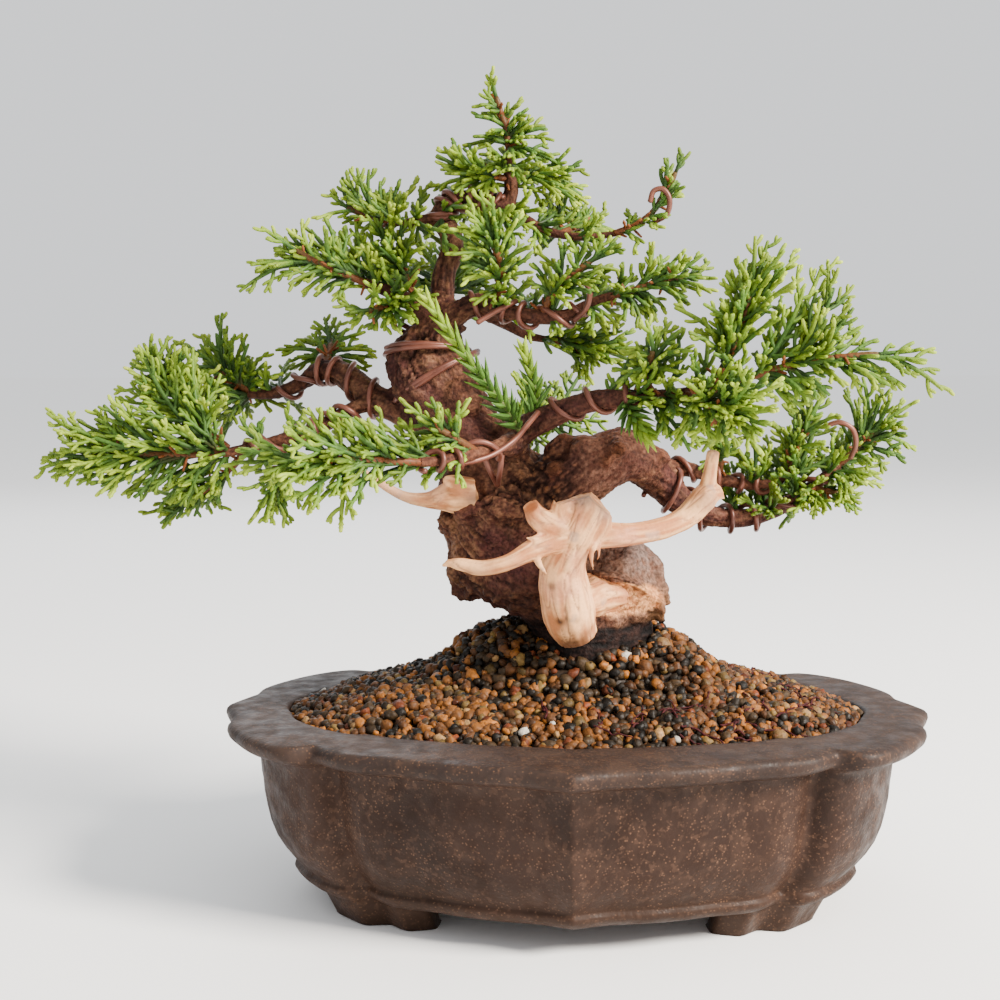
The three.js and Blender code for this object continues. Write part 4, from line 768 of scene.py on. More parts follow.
def make_wood():
    paths = [trunk_path()] + [limb_rows(rows) for rows in BRANCHES.values()]
    shells = [trunk_shell()] + [limb(rows) for rows in BRANCHES.values()]
    shells += [knob(at, sizes) for at, sizes in KNOBS]
    shells += [limb(rows, 12, 0.8) for rows in STUBS + [RIDGE]]
    points, faces = fused(shells, WOOD_VOXEL, 3)

    # Relief: twisted fibres and plates, burrs, smooth and bare places, wrinkled wet roots.
    run, a, b, radius = along_limbs(points, paths).T
    twist = 0.03 * run
    a, b = a * np.cos(twist) - b * np.sin(twist), a * np.sin(twist) + b * np.cos(twist)
    thick = np.clip(radius / 9, 0.2, 1)
    ridges = 1 - 2 * np.abs(fibres(a, b, run, 1.4, 12, 3, 3))
    plates = fibres(a, b, run, 3.0, 15, 9, 2)
    ledges = ramp(plates, -0.02, 0.06) + 0.7 * ramp(plates, 0.2, 0.27)
    cracks = ramp(np.abs(fibres(a, b, run, 3.4, 16, 19, 2)), 0.09, 0.0)
    lumps = layered(points / 11, 14, 3)
    fine = layered(points / 1.1, 17, 2)
    burl = np.clip(patch(points, (14, 88, -4), 12) * 1.6, 0, 1)
    shoulder = np.clip(patch(points, (8, 119, -12), 9) * 1.5, 0, 1)
    burr = np.clip(noise(points / 2.4, 23), 0, 1)
    smooth = np.clip(patch(points, (-10, 90, -18), 9) * 1.5 + shoulder, 0, 1)
    rough = 0.35 + 0.65 * ramp(noise(points / 15, 25), -0.4, 0.3)
    rough = rough * (1 - 0.75 * burl) * (1 - 0.6 * smooth)
    under = ramp(points[:, 2], 96, 80) * ramp(points[:, 0], -6, -22)
    edge = np.clip(under + patch(points, (27, 84, -4), 8), 0, 1)
    bark = 0.5 * ridges + 0.7 * ledges - 1.0 * cracks
    relief = thick * (0.9 * lumps + rough * bark + 0.3 * fine)
    relief += thick * (2.2 * burr * edge - 0.8) - slimmer(radius)
    wet = ramp(points[:, 2] + 2.5 * lumps, 78.5, 76.5)
    wrinkle = 1 - 2 * np.abs(layered(points / [7, 7, 0.9], 33, 2))
    bare = np.linalg.norm((points - seen((13.5, 82.6, -12))) / [13, 9, 5.4], axis=1)
    bare = ramp(bare + 0.1 * noise(points / 3, 37), 1.0, 0.86) * ramp(points[:, 1], -3, -6)
    relief = mix(relief, 0.1 * ridges - 1.2, bare)
    relief = mix(relief, 0.7 * lumps + 0.3 * wrinkle - 0.4, wet)
    points = points + normals(points, faces) * relief[:, None]

    # Colour: brown bark, its pale and grey places, painted shade low on the left and in the forks,
    # sawn ends, twigs, bare wood, roots.
    high = ramp(0.8 * ridges + 0.7 * plates + 0.8 * fine, -0.7, 1.0)
    colour = paint((0.034, 0.011, 0.008), (0.190, 0.070, 0.040), high)
    tan = ramp(0.6 * plates + 0.6 * fine + 0.6 * ridges, 0.25, 0.8)
    colour = paint(colour, (0.38, 0.18, 0.09), 0.8 * tan * rough)
    colour = paint(colour, (0.11, 0.034, 0.032), 0.55 * ramp(noise(points / 10, 43), 0, 0.5))
    warm = ramp(fine + ridges + lumps, -0.2, 1.3)
    warm = paint((0.20, 0.075, 0.046), (0.46, 0.225, 0.145), warm)
    colour = paint(colour, warm, 0.7 * shoulder)
    grey = paint((0.34, 0.20, 0.135), (0.40, 0.29, 0.24), ramp(points[:, 2] + 6 * lumps, 84, 98))
    grey = paint((0.27, 0.135, 0.085), grey, ramp(fine + lumps, -0.5, 0.5))
    grey = grey * (0.75 + 0.3 * ramp(ridges, -0.5, 0.5))[:, None]
    colour = paint(colour, grey, 0.85 * burl)
    plum = (patch(points, (-19, 98, -17), 8) + patch(points, (-5, 97, -18), 7)
            + patch(points, (-3, 115, -12), 6))
    plum = 0.6 * np.clip(plum, 0, 1) * ramp(lumps, -0.3, 0.2)
    colour = paint(colour, (0.15, 0.038, 0.042), plum)
    # Painted shade low on the trunk's left side, and the cracks made darker.
    shadowed = ramp(points[:, 2], 96, 78) * ramp(points[:, 0], 5, -12)
    colour = colour * (1 - 0.5 * shadowed - 0.5 * cracks * rough)[:, None]
    colour = paint(colour, (0.42, 0.20, 0.085), 0.8 * patch(points, (24, 79, -6), 5))
    # Painted shade in the forks, with orange strands of bark in them.
    fork = patch(points, (-7, 116, -10), 9) + patch(points, (-18, 106, -15), 3)
    dark = np.clip(1.3 * fork, 0, 1) * ramp(fine + ridges, 1.3, 0.5)
    colour = paint(colour, (0.016, 0.006, 0.004), 0.9 * dark)
    strands = 0.8 * np.clip(fork, 0, 1) * ramp(fine + ridges, 1.0, 1.5)
    colour = paint(colour, (0.40, 0.14, 0.04), strands)
    for *_, before, end in STUBS:
        points = sawn(points, end[:3], np.subtract(end[:3], before[:3]), 5.0)
        colour = paint(colour, (0.30, 0.105, 0.045), 0.7 * patch(points, end[:3], 2.0))
    twig = paint((0.07, 0.022, 0.014), (0.20, 0.072, 0.038), high)
    colour = paint(colour, twig, 0.8 * ramp(radius, 3.6, 2.2))
    colour = (0.51 - 0.1 * ramp(points[:, 2], 120, 140))[:, None] * colour
    cream = paint((0.26, 0.095, 0.035), (0.62, 0.30, 0.125), ramp(fine + ridges, -0.3, 1.0))
    rust = 0.8 * ramp(points[:, 0], 17.5, 23) * ramp(fine, -0.3, 0.3)
    colour = paint(colour, paint(cream, (0.34, 0.105, 0.03), rust), bare)
    root = paint((0.002, 0.001, 0.001), (0.018, 0.008, 0.006), ramp(wrinkle + fine, 0, 1.4))
    colour = paint(colour, root, wet)
    make("bark_and_branches", (points, faces), BARK, tint=colour, replaces=["tree_wood"])


make_wood()

# ---- Deadwood ------------------------------------------------------------------------------
# The limbs, splinters and wedge as places [x, z, y, radius].
DEADWOOD_FRONT = {
    "foot": [(1, 72, -22, 5.5), (-1, 77, -25, 7), (-2.5, 84, -28, 7), (-3, 91, -31, 6.2),
             (-1, 97, -34, 5.2), (2, 103, -35, 5.6), (4, 108, -34, 6), (4, 112, -34, 5)],
    "left_arm": [(0, 100, -35, 4), (-7, 98, -38, 3.2), (-13, 95.5, -40, 2.6), (-19, 92.5, -41, 2.2),
                 (-26, 91, -40, 2), (-32, 92, -39, 1.7), (-36, 92.5, -38, 0.8)],
    "upper_stub": [
        (1, 101, -35, 4), (-5, 102.5, -37, 3.6), (-10, 105.5, -38, 3), (-12.5, 109.5, -37, 2),
    ],
    "right_arm": [(3, 101, -34, 4.2), (10, 100.5, -33, 3.6), (18, 101, -31, 3), (26, 102.8, -29, 3),
                  (32, 106, -27, 3.2), (37, 111.5, -26, 3.6), (41, 113, -25, 1.8)],
    "right_stub": [(37, 110.5, -26, 3.2), (38, 117, -26, 2), (39, 124, -26, 1.7)],
    "top_left": [(1, 103, -35, 4.2), (-3, 107, -36, 3.6), (-1, 111.5, -35, 2.6)],
    "ridge": [(5, 99, -35, 3), (8, 104, -36, 2.6), (8.5, 108, -35, 1.6)],
    "patch": [(-1, 81, -22, 6.2), (4, 83.2, -14.2, 6.6), (8, 83.7, -12.3, 6.0),
              (12.5, 83.7, -11, 4.9), (16.5, 83.4, -9.3, 3.6), (20, 82.4, -6, 1.8)],
}
SPLINTERS = [
    [(5.5, 98, -37.5, 1.0), (5, 94, -38.5, 0.7), (5.6, 90.5, -38, 0.25)],
    [(7, 99, -36, 0.8), (7.2, 95.5, -37.5, 0.5), (6.6, 93, -37.5, 0.2)],
    [(-10.6, 95.6, -39.6, 1.0), (-9.8, 92.4, -41.2, 0.8), (-7.6, 89.2, -41.8, 0.25)],
    [(-9, 100.5, -39, 0.9), (-11.5, 99.4, -41, 0.6), (-13.4, 99.6, -41.4, 0.25)],
    [(4, 111, -34, 1.4), (8, 108.5, -35.4, 0.9), (10.4, 104, -35.6, 0.4)],
    [(-35, 92.3, -38.2, 1.0), (-37.2, 91.6, -38, 0.5)],
    [(37, 112.5, -28.4, 1.2), (35, 108.6, -29.6, 0.7)],
    [(39.5, 112, -26, 1.6), (43.5, 111.4, -24.6, 0.5)],
]
DEADWOOD_LEFT = {
    "wedge": [(-29, 111, -12, 5), (-35, 111, -14, 4.4), (-41, 110.3, -15, 2.4),
              (-47, 111, -16, 1.5), (-53, 114, -17, 1.2), (-61, 119.5, -18, 0.7)],
    "flare": [(-30, 113, -13, 4), (-34, 115, -15, 2.6), (-36.5, 116.2, -16, 0.9)],
}
# Flat ends on the bare wood: a place [x, z, y] on each and the way it faces.
SAWN = [
    ((-12.3, 109.0, -37.5), (-0.4, 0.75, -0.5)), ((2, 111.2, -35), (-0.25, 0.97, -0.05)),
    ((8.2, 108.2, -35), (0.70, 0.70, -0.1)), ((39, 124.4, -26), (0.1, 1, 0)),
    ((42, 112.4, -25), (1, 0.1, 0)),
]
# Dark and brown marks: a place [x, z, y], size, strength and colour.
FRONT_MARKS = [
    ((0.5, 68.6, -26.6), 4.4, 0.9, (0.13, 0.055, 0.025)),
    ((-12.5, 109.3, -39), 2.6, 1.0, (0.30, 0.085, 0.025)),
    ((-3.5, 76, -31.6), 1.1, 0.9, (0.045, 0.018, 0.01)),
    ((-1.5, 77, -32), 1.0, 0.9, (0.05, 0.02, 0.012)),
    ((0.6, 76.4, -31.8), 0.9, 0.9, (0.05, 0.02, 0.012)),
    ((-1.6, 79.2, -32.8), 0.8, 0.9, (0.10, 0.04, 0.02)),
    ((-6, 86, -35), 1.2, 0.7, (0.20, 0.09, 0.045)), ((3, 73.5, -28), 1.6, 0.6, (0.22, 0.09, 0.04)),
    ((3, 112, -38), 3.6, 0.75, (0.22, 0.15, 0.11)),
    ((9, 107.5, -37), 3.0, 0.6, (0.26, 0.17, 0.125)),
    ((37.5, 110, -29), 3.0, 0.6, (0.20, 0.10, 0.06)),
    ((19, 82.6, -11), 6, 0.75, (0.33, 0.13, 0.05)),
    ((39, 124.5, -27), 1.6, 0.6, (0.35, 0.20, 0.11)),
    ((-26, 90, -41), 3.0, 0.35, (0.40, 0.21, 0.11)),
]
LEFT_MARKS = [
    ((-53, 114, -17), 9, 0.6, (0.28, 0.165, 0.105)), ((-29, 111, -16), 3, 0.6, (0.26, 0.12, 0.06)),
]


def make_deadwood(name, node, limbs, splinters, marks):
    shells = [limb(rows, 14, 0.8) for rows in limbs.values()]
    shells += [limb(rows, 8, 0.5) for rows in splinters]
    points, faces = fused(shells, DEADWOOD_VOXEL, 2)
    for at, way in SAWN:
        points = sawn(points, at, way)
    run, a, b, radius = along_limbs(points, [limb_rows(rows, 0.8) for rows in limbs.values()]).T
    streak = fibres(a, b, run, 1.1, 14, 51, 3)
    groove = 1 - np.abs(fibres(a, b, run, 2.2, 20, 55, 2)) * 2
    lumps = layered(points / 5, 58, 2)
    relief = 0.14 * streak + 0.5 * lumps - 0.3 * ramp(groove, 0.84, 1)
    relief = np.clip(radius / 5, 0.2, 1) * relief + 0.04 * layered(points, 61, 2)
    points = points + normals(points, faces) * relief[:, None]
    pale = ramp(streak + 0.6 * lumps, -0.5, 0.4)
    colour = paint((0.50, 0.185, 0.066), (0.88, 0.46, 0.205), pale)
    colour = paint(colour, (0.32, 0.145, 0.075), 0.7 * ramp(groove, 0.86, 0.99))
    colour = paint(colour, (0.70, 0.30, 0.18), 0.4 * ramp(layered(points / 6, 66, 2), 0.05, 0.5))
    colour = paint(colour, (0.34, 0.25, 0.20), 0.5 * ramp(layered(points / 4, 71, 3), 0.35, 0.6))
    for at, size, strength, shade in marks:
        mark = np.clip(1.5 * patch(points, at, size), 0, 1)
        colour = paint(colour, shade, strength * mark)
    make(name, (points, faces), DEADWOOD, tint=colour, replaces=[node])


make_deadwood("deadwood_front_limbs", "deadwood_front", DEADWOOD_FRONT, SPLINTERS, FRONT_MARKS)
make_deadwood("deadwood_left_wedge", "deadwood_left", DEADWOOD_LEFT, [], LEFT_MARKS)

# ---- Training wires ------------------------------------------------------------------------
WIRE_RADIUS, WIRE_SIDES = 0.76, 10
WIRE_GAP = 0.05  # between a coil and its branch
COIL_STEPS = 18  # to a turn
TRUNK_TOP = [
    (-37.5, 143, 0, 13.2), (-40, 149, 0, 12.3), (-40.5, 155, 0, 10.5), (-38.5, 161, 0, 7.7),
]
# What each wire is wound round, from where to where along it, its turns and its starting angle.
WIRES = {
    "wire_trunk": (TRUNK_TOP, 0.1, 0.75, 2, 2.5),
    "wire_left": (BRANCHES["left"], 0.28, 0.86, 6, 0.0),
    "wire_left_low": (BRANCHES["left_low"], 0.2, 0.85, 6, 1.0),
    "wire_front_left": (BRANCHES["front_left"], 0.42, 0.95, 3, 2.0),
    "wire_front_right": (BRANCHES["front_right"], 0.24, 0.62, 3, 0.5),
    "wire_right": (BRANCHES["right"], 0.4, 0.94, 6, 0.0),
    "wire_right_upper": (BRANCHES["right_upper"], 0.3, 0.9, 4, 1.0),
    "wire_upper_right": (BRANCHES["upper_right"], 0.22, 0.88, 5, 3.0),
    "wire_crown": (BRANCHES["leader"], 0.4, 0.72, 4, 0.0),
}
# The wires' free ends and straight runs, as places [x, z, y].
RUNS = {
    "wire_trunk": [[(-27, 160, -12), (-23, 162.5, -11), (-19, 164.5, -10.5), (-16, 166, -8)]],
    "wire_front_left": [
        [(-10, 135, -22), (-13, 131.5, -27), (-17, 127, -33), (-24, 122.6, -38), (-32, 120.8, -43),
         (-37, 121.5, -47)],
        [(-26, 125, -27), (-24.6, 121, -26), (-22.8, 117, -24), (-21.5, 114.5, -19)],
        [(-20, 126, -26), (-20.4, 121, -27), (-21, 117, -25), (-21.4, 114.5, -19)],
    ],
    "wire_right": [[(70, 131, 10), (74, 132, 9), (77.5, 130, 9), (78.4, 126, 10), (77, 122, 12)]],
    "wire_upper_right": [
        [(1, 171.5, -14), (3.4, 170.5, -14), (4.4, 167.5, -13), (3.2, 163.5, -12), (0, 160.5, -10)],
    ],
    "wire_crown": [
        [(21, 193, -8), (22, 196, -8.5), (24.6, 196.4, -9), (26.4, 193.6, -9), (25.6, 189.6, -8),
         (22, 187.4, -6.5)],
    ],
}
# Where a second wire runs beside the first, and how far round the branch it is from it.
DOUBLED = {"wire_crown": 2.5, "wire_trunk": 0.9}


def wire_tube(path):
    return tubes(path[None], np.full((1, len(path), WIRE_SIDES), WIRE_RADIUS))


def coil(rows, start, stop, turns, angle, aside=0.0):
    """A wire's path round a branch, with uneven turns."""
    steps = turns * COIL_STEPS + 1
    middle = spline(in_space(rows), np.linspace(start, stop, steps))
    middle, radius = middle[:, :3], middle[:, 3]
    along = unit(np.gradient(middle, axis=0))
    across = unit(np.cross([0, 1, 0], along))
    up = np.cross(along, across)
    wave = np.linspace(0, turns * 2 * math.pi, steps)
    turn = angle + aside + wave + 1.3 * np.sin(wave * 0.31 + angle)
    gap = (radius - slimmer(radius) + WIRE_RADIUS + WIRE_GAP
           + 0.25 * np.sin(wave * 0.61 + 2 * angle))
    lean = along * (1.1 * np.sin(turn + 2 * np.sin(wave * 0.23 + angle)))[:, None]
    return (middle + lean + across * (np.cos(turn) * gap)[:, None]
            + up * (np.sin(turn) * gap)[:, None])


for name, (rows, start, stop, turns, angle) in WIRES.items():
    paths = [coil(rows, start, stop, turns, angle)]
    if name in DOUBLED:
        paths.append(coil(rows, start + 0.02, stop - 0.02, turns, angle, DOUBLED[name]))
    paths += [spline(seen(run), np.linspace(0, 1, 9 * len(run))) for run in RUNS.get(name, [])]
    make(name + "_strands", merged([wire_tube(path) for path in paths]), BROWN_WIRE,
         replaces=[name])

# ---- Foliage -------------------------------------------------------------------------------
# Tone -1 is brown wood, 0 the dark inside of a pad, 1 a pale tip.
TONES = np.array([-1.0, -0.4, 0.0, 0.35, 0.7, 1.0, 1.3])
TONE_COLOURS = np.array([
    (0.13, 0.036, 0.010), (0.075, 0.05, 0.012), (0.022, 0.058, 0.011), (0.062, 0.135, 0.017),
    (0.165, 0.25, 0.014), (0.30, 0.40, 0.03), (0.46, 0.54, 0.06),
])
LEAF_STEP = 0.85  # from one pair of scale leaves to the next
CORD_SIDES = 6
STEM_RADIUS, AXIS_RADIUS, SHOOT_RADIUS, TWIG_RADIUS, SCRAP_RADIUS = 1.15, 0.68, 0.6, 0.56, 0.45
SHOOT_ANGLE = math.radians(36)
STEM_STEPS = 59
SCRAPS = 9  # dead ones, on each stem
# Each spray: its stem as places [x, z, y], and its tips as [place along the stem, x, z, y].
SPRAYS = {
    "spray_left_main": (
        [(-97, 123.6, -9), (-110, 123, -10), (-124, 123, -10), (-138, 122.5, -8)],
        [(0.3, -119, 133, -16), (0.42, -130, 139, -12), (0.55, -136, 136, -4),
         (0.7, -150, 135, -10), (0.85, -147, 128, -14), (0.95, -150, 123, -8), (1, -152.5, 119, -5),
         (0.85, -146, 117, 0), (0.65, -136, 117, -16), (0.5, -135, 112, -20), (0.35, -126, 113, -2),
         (0.12, -110, 131, -22)],
    ),
    "spray_left_upper": (
        [(-98, 125, -8), (-105, 131, -4), (-112, 139, 0), (-118, 146, 2)],
        [(0.3, -98, 139, -14), (0.4, -122, 138, -6), (0.65, -126, 146.5, -5), (1, -119.5, 156.5, 4),
         (0.85, -125, 150, 8), (0.7, -108, 150, -6), (0.85, -112.5, 155, 10), (0.5, -102, 147, 6)],
    ),
    "spray_left_back": (
        [(-90, 140, 16), (-96, 143.5, 17), (-101, 148, 18)],
        [(0.6, -99, 163, 16), (0.8, -105, 157, 24), (1, -112, 155, 18), (0.4, -92, 157, 22),
         (0.5, -95.5, 157, 12), (0.3, -86, 152, 20), (0.12, -82, 146, 10), (0.9, -110, 147, 12),
         (0.2, -91, 133, 24), (0.1, -81, 136, 20)],
    ),
    "spray_left_low": (
        [(-93, 124, -8), (-98, 118.5, -4), (-104, 113.5, 0), (-110, 110, 2)],
        [(1, -117, 104, 4), (0.95, -123, 106, -4), (0.7, -110, 105.5, 10), (0.5, -100, 107.5, 12),
         (0.45, -103, 112, -12), (0.8, -119, 113, 12), (0.35, -113, 115, -12)],
    ),
    "spray_left_under": (
        [(-82, 127, -8), (-83, 120, -3), (-85, 113.5, 1)],
        [(1, -86, 103.5, 3), (0.9, -81, 103, 8), (0.7, -92, 104, -3), (0.5, -77, 110, 10),
         (0.6, -94, 113, -8), (0.3, -76, 117, -4)],
    ),
    "spray_left_inner": (
        [(-70, 146, 10), (-69, 151, 17), (-68, 155, 24)],
        [(0.5, -84, 152.5, 22), (0.7, -78, 155.5, 28), (1, -73, 160.5, 30), (1, -65.5, 160.5, 32),
         (0.8, -58.5, 157.5, 26), (0.6, -55.5, 152, 22), (0.4, -58, 146.5, 20),
         (0.4, -80, 147, 24)],
    ),
    "spray_front_left": (
        [(-43, 121, -52.5), (-54, 121.5, -58), (-65, 122, -62), (-76, 121.5, -66)],
        [(1, -91, 127, -71), (0.95, -97, 121, -66), (0.8, -87, 117.5, -58), (0.75, -83, 113.5, -74),
         (0.6, -77, 107.5, -66), (0.5, -66, 102, -60), (0.35, -57, 114, -62),
         (0.7, -82, 131.5, -76), (0.55, -75, 136.5, -60), (0.4, -67, 134, -54),
         (0.2, -58, 133.5, -66)],
    ),
    "spray_front_inner": (
        [(-27, 123.7, -39), (-33, 127.5, -44), (-39, 131, -47)],
        [(1, -48, 138, -51), (0.5, -29, 139, -41), (0.8, -38, 137, -52), (0.7, -49, 128, -40),
         (0.35, -43, 114.5, -46), (0.2, -33, 115, -50)],
    ),
    "spray_upper_left_far": (
        [(-58, 171, -6), (-65, 174, -8), (-72, 177, -9), (-78, 180.5, -10)],
        [(1, -87.5, 187, -12), (0.7, -94, 169, -14), (0.85, -84, 181, -2), (0.65, -76, 189, -4),
         (0.45, -80, 171, -14), (0.35, -76, 168, -2), (0.2, -66, 166, -12), (0.4, -69, 186, -16),
         (0.2, -62, 181, 4)],
    ),
    "spray_upper_left_top": (
        [(-47, 187.5, 0), (-52, 188.5, 2), (-58, 190, 4), (-63, 192, 6)],
        [(1, -68, 196, 6), (0.9, -64.5, 200.5, 9), (0.65, -60, 202, 10), (0.5, -57, 202.5, 0),
         (0.3, -49, 197.5, 10), (0.12, -43, 200, 6), (0.2, -47, 193, -8), (0.85, -72, 189, 0),
         (0.4, -60, 184, 12)],
    ),
    "spray_upper_left_low": (
        [(-47, 167, -3), (-52, 165, -7), (-58, 163.5, -10)],
        [(1, -66, 166, -13), (0.9, -63, 160, -8), (0.6, -56, 158, -2), (0.4, -50, 158, -12),
         (0.25, -45, 161, -16), (0.5, -56, 172, -20), (0.2, -44, 173, -18), (0.12, -38, 168, -17)],
    ),
    "spray_upper_left_mid": (
        [(-44, 165.5, -1), (-47, 173, 1), (-51, 180, 2)],
        [(1, -58, 190, -4), (0.9, -50, 193, -8), (0.8, -45, 189, 8), (0.6, -42, 181, -10),
         (0.6, -61, 181, -10), (0.4, -42, 176, 14), (0.5, -57, 176, 14), (0.3, -55, 176, -12)],
    ),
    "spray_apex": (
        [(-18, 206.5, 2), (-18.5, 212, 2), (-20, 217, 2), (-21.5, 222, 2)],
        [(1, -23, 228.5, 2), (0.7, -26, 220, -2), (0.55, -26, 216.5, 6), (0.5, -14, 221, 4),
         (0.35, -13, 217, -4), (0.25, -8, 214, 4), (0.15, -5.5, 210, -5), (0.3, -24, 212, -8),
         (0.12, -30.5, 208.5, 4), (0.2, -20, 212, 14)],
    ),
    "spray_crown_right": (
        [(-17.5, 199, 2), (-13, 200.5, 5), (-9, 201, 8)],
        [(1, 3, 202, 10), (1, -2.5, 206.5, 6), (0.8, 2.5, 196.5, 14), (0.6, 4, 192.5, 6),
         (0.4, -4, 194, -6), (0.6, -9, 206, 18), (0.4, -15, 200, 18), (0.5, -8, 203, -8)],
    ),
    "spray_crown_left": (
        [(-18.5, 199.5, 2), (-23, 200.5, 0), (-28, 201, 0)],
        [(1, -38, 204.5, -3), (0.95, -36, 208.5, 3), (0.8, -33.5, 209, -6), (0.5, -28, 208, -8),
         (0.6, -37, 198, 8), (0.5, -27, 205, 13), (0.3, -24, 195, -12), (0.5, -33, 196, -8)],
    ),
    "spray_centre": (
        [(-22, 165.5, -6), (-21, 171, -12), (-21, 177, -17), (-22.5, 182, -20)],
        [(1, -30, 191, -25), (1, -26, 196.5, -21), (0.85, -18, 192.5, -24), (0.7, -14, 190, -16),
         (0.9, -34, 186, -22), (0.65, -34, 179, -26), (0.4, -31, 172, -20), (0.55, -12, 181, -24),
         (0.35, -12, 174, -16), (0.2, -28, 165, -16)],
    ),
    "spray_upper_right": (
        [(9.5, 167, -8), (17, 169, -8), (24, 171, -8), (30, 172, -8)],
        [(1, 38.5, 172, -8), (0.95, 37.5, 176.5, -2), (0.75, 31, 178.5, -13), (0.55, 24, 178.5, -2),
         (0.4, 21, 182, -10), (0.85, 38, 168, -14), (0.6, 30, 164.5, -12), (0.35, 22, 160, -4),
         (0.15, 14, 160.5, -12), (0.5, 29, 167, 4)],
    ),
    "spray_upper_right_mid": (
        [(-9, 161.8, -8), (-6, 168, -11), (-1, 173, -12), (5, 177, -12)],
        [(1, 14, 180, -18), (1, 8, 184, -14), (0.75, -2, 184, -17), (0.5, -11, 180, -10),
         (0.3, -13, 171, -13), (0.5, 5, 170, -20), (0.8, 13, 174, -8), (0.3, -1, 164, -18)],
    ),
    "spray_sprout": (
        [(11, 184.4, -4), (17, 186.5, -5), (21.5, 190, -6), (25, 195, -6), (28, 201, -6)],
        [(1, 30, 206, -6), (0.8, 26, 201.5, -8), (0.65, 30, 195, -3), (0.35, 23, 185.5, -11),
         (0.25, 14, 190, -1), (0.1, 18, 181.5, -9)],
    ),
    "spray_upper_back": (
        [(-4, 184.3, -2), (0, 186, 7), (4, 187, 14)],
        [(1, 9, 191, 19), (0.9, 3, 192.5, 18), (0.6, -5, 193, 12), (0.6, 10, 184, 12),
         (1, 12, 184.5, 24), (0.8, -2, 182, 22)],
    ),
    "spray_under_right": (
        [(-6, 155, 7), (0, 154, 8), (6, 153, 8)],
        [(1, 18.5, 153, 8), (0.95, 15, 157.5, 14), (0.85, 11, 148.5, 3), (0.6, 3.5, 143.5, 5),
         (0.45, 0, 146, 15), (0.5, 10, 159, 14), (0.8, 19, 148, 13), (0.3, 0, 161, 2)],
    ),
    "spray_right_front_up": (
        [(38, 141.5, -36), (43, 150, -38), (47, 160, -38), (49, 169, -38)],
        [(1, 50, 183.5, -38), (0.9, 53.5, 179, -32), (0.85, 46, 176, -44), (0.65, 42, 173, -34),
         (0.8, 58, 179.5, -42), (0.6, 62, 178, -32), (0.5, 36, 165, -42), (0.55, 61, 171, -48),
         (0.35, 28, 164, -34), (0.3, 57, 161, -50), (0.25, 32, 157, -48), (0.45, 42, 166, -24)],
    ),
    "spray_right_front_out": (
        [(49, 144.7, -38), (60, 148, -40), (72, 150, -42), (84, 151, -42)],
        [(1, 95, 152, -42), (1, 102, 141, -44), (0.8, 88, 143.5, -38), (0.65, 84, 143, -48),
         (0.6, 79, 157, -36), (0.4, 70, 176.5, -36), (0.3, 68, 166, -44), (0.5, 72, 160, -48),
         (0.45, 75, 142, -50), (0.3, 70, 139, -36), (0.15, 65, 138, -48), (0.1, 62, 166, -30)],
    ),
    "spray_right_front_low": (
        [(31, 140.2, -34), (37, 138, -46), (43, 135, -54)],
        [(1, 52, 123.5, -60), (0.9, 57, 136, -64), (0.7, 43, 123.5, -54), (0.5, 33, 127, -52),
         (0.6, 58, 143, -58), (0.8, 50, 146, -66), (0.4, 44, 149, -52), (0.5, 32, 143, -60)],
    ),
    "spray_right_front_in": (
        [(21, 139.3, -31), (21, 146, -33), (22, 152, -35)],
        [(1, 20, 160.5, -36), (0.85, 14, 151, -32), (0.6, 12, 143, -34), (0.6, 33, 152, -46),
         (0.9, 27, 160, -28), (0.4, 29, 146, -44), (0.5, 22, 150, -18)],
    ),
    "spray_right_out": (
        [(73, 119.2, 20), (79, 125, 20), (84, 130, 20)],
        [(1, 95, 138, 20), (0.95, 92, 130.5, 14), (0.8, 95, 124, 24), (0.5, 87, 118.5, 20),
         (0.6, 80, 144.5, 22), (0.85, 88, 140, 12), (0.4, 75, 141, 28), (0.3, 83, 120, 10)],
    ),
    "spray_right_under": (
        [(66, 113.8, 18), (70, 113, 16), (74, 112, 15)],
        [(1, 79, 108, 14), (0.8, 80, 115, 20), (0.5, 67.5, 109, 20), (0.9, 75, 109.5, 8)],
    ),
    "spray_right_mid": (
        [(59, 115.8, 14), (61, 123, 13), (64, 130, 12)],
        [(1, 70, 141, 10), (0.8, 59, 138, 20), (0.8, 74, 134, 6), (0.6, 53, 132, 6),
         (0.5, 70, 126, 4), (0.4, 51, 124, 18), (0.9, 66, 139, 24)],
    ),
    "spray_right_inner": (
        [(41, 116.3, 13), (41, 123, 14), (43, 130, 16)],
        [(1, 47, 138, 20), (0.8, 37, 134, 22), (0.6, 34, 127, 12), (0.6, 51, 128, 6),
         (0.35, 35, 119, 6), (0.4, 49, 121, 24), (0.8, 46, 133, 30)],
    ),
    "spray_back": (
        [(-9, 132.2, 36), (-6, 134, 41), (-2, 135.5, 45)],
        [(1, -7, 143.5, 50), (0.8, -12, 140, 42), (0.6, -8, 127.5, 44), (0.9, -1, 126.5, 52),
         (1, 4, 141, 50), (0.8, 5, 131, 42)],
    ),
    "spray_back_high": (
        [(-35, 168.5, 26), (-34.5, 171, 32), (-34, 173, 38)],
        [(1, -34, 179, 50), (0.9, -46, 176, 42), (0.9, -22, 177, 42), (0.4, -50, 170, 32),
         (0.4, -19, 169, 32), (0.7, -33, 185, 32), (0.6, -40, 163, 42), (0.7, -27, 164, 44)],
    ),
}
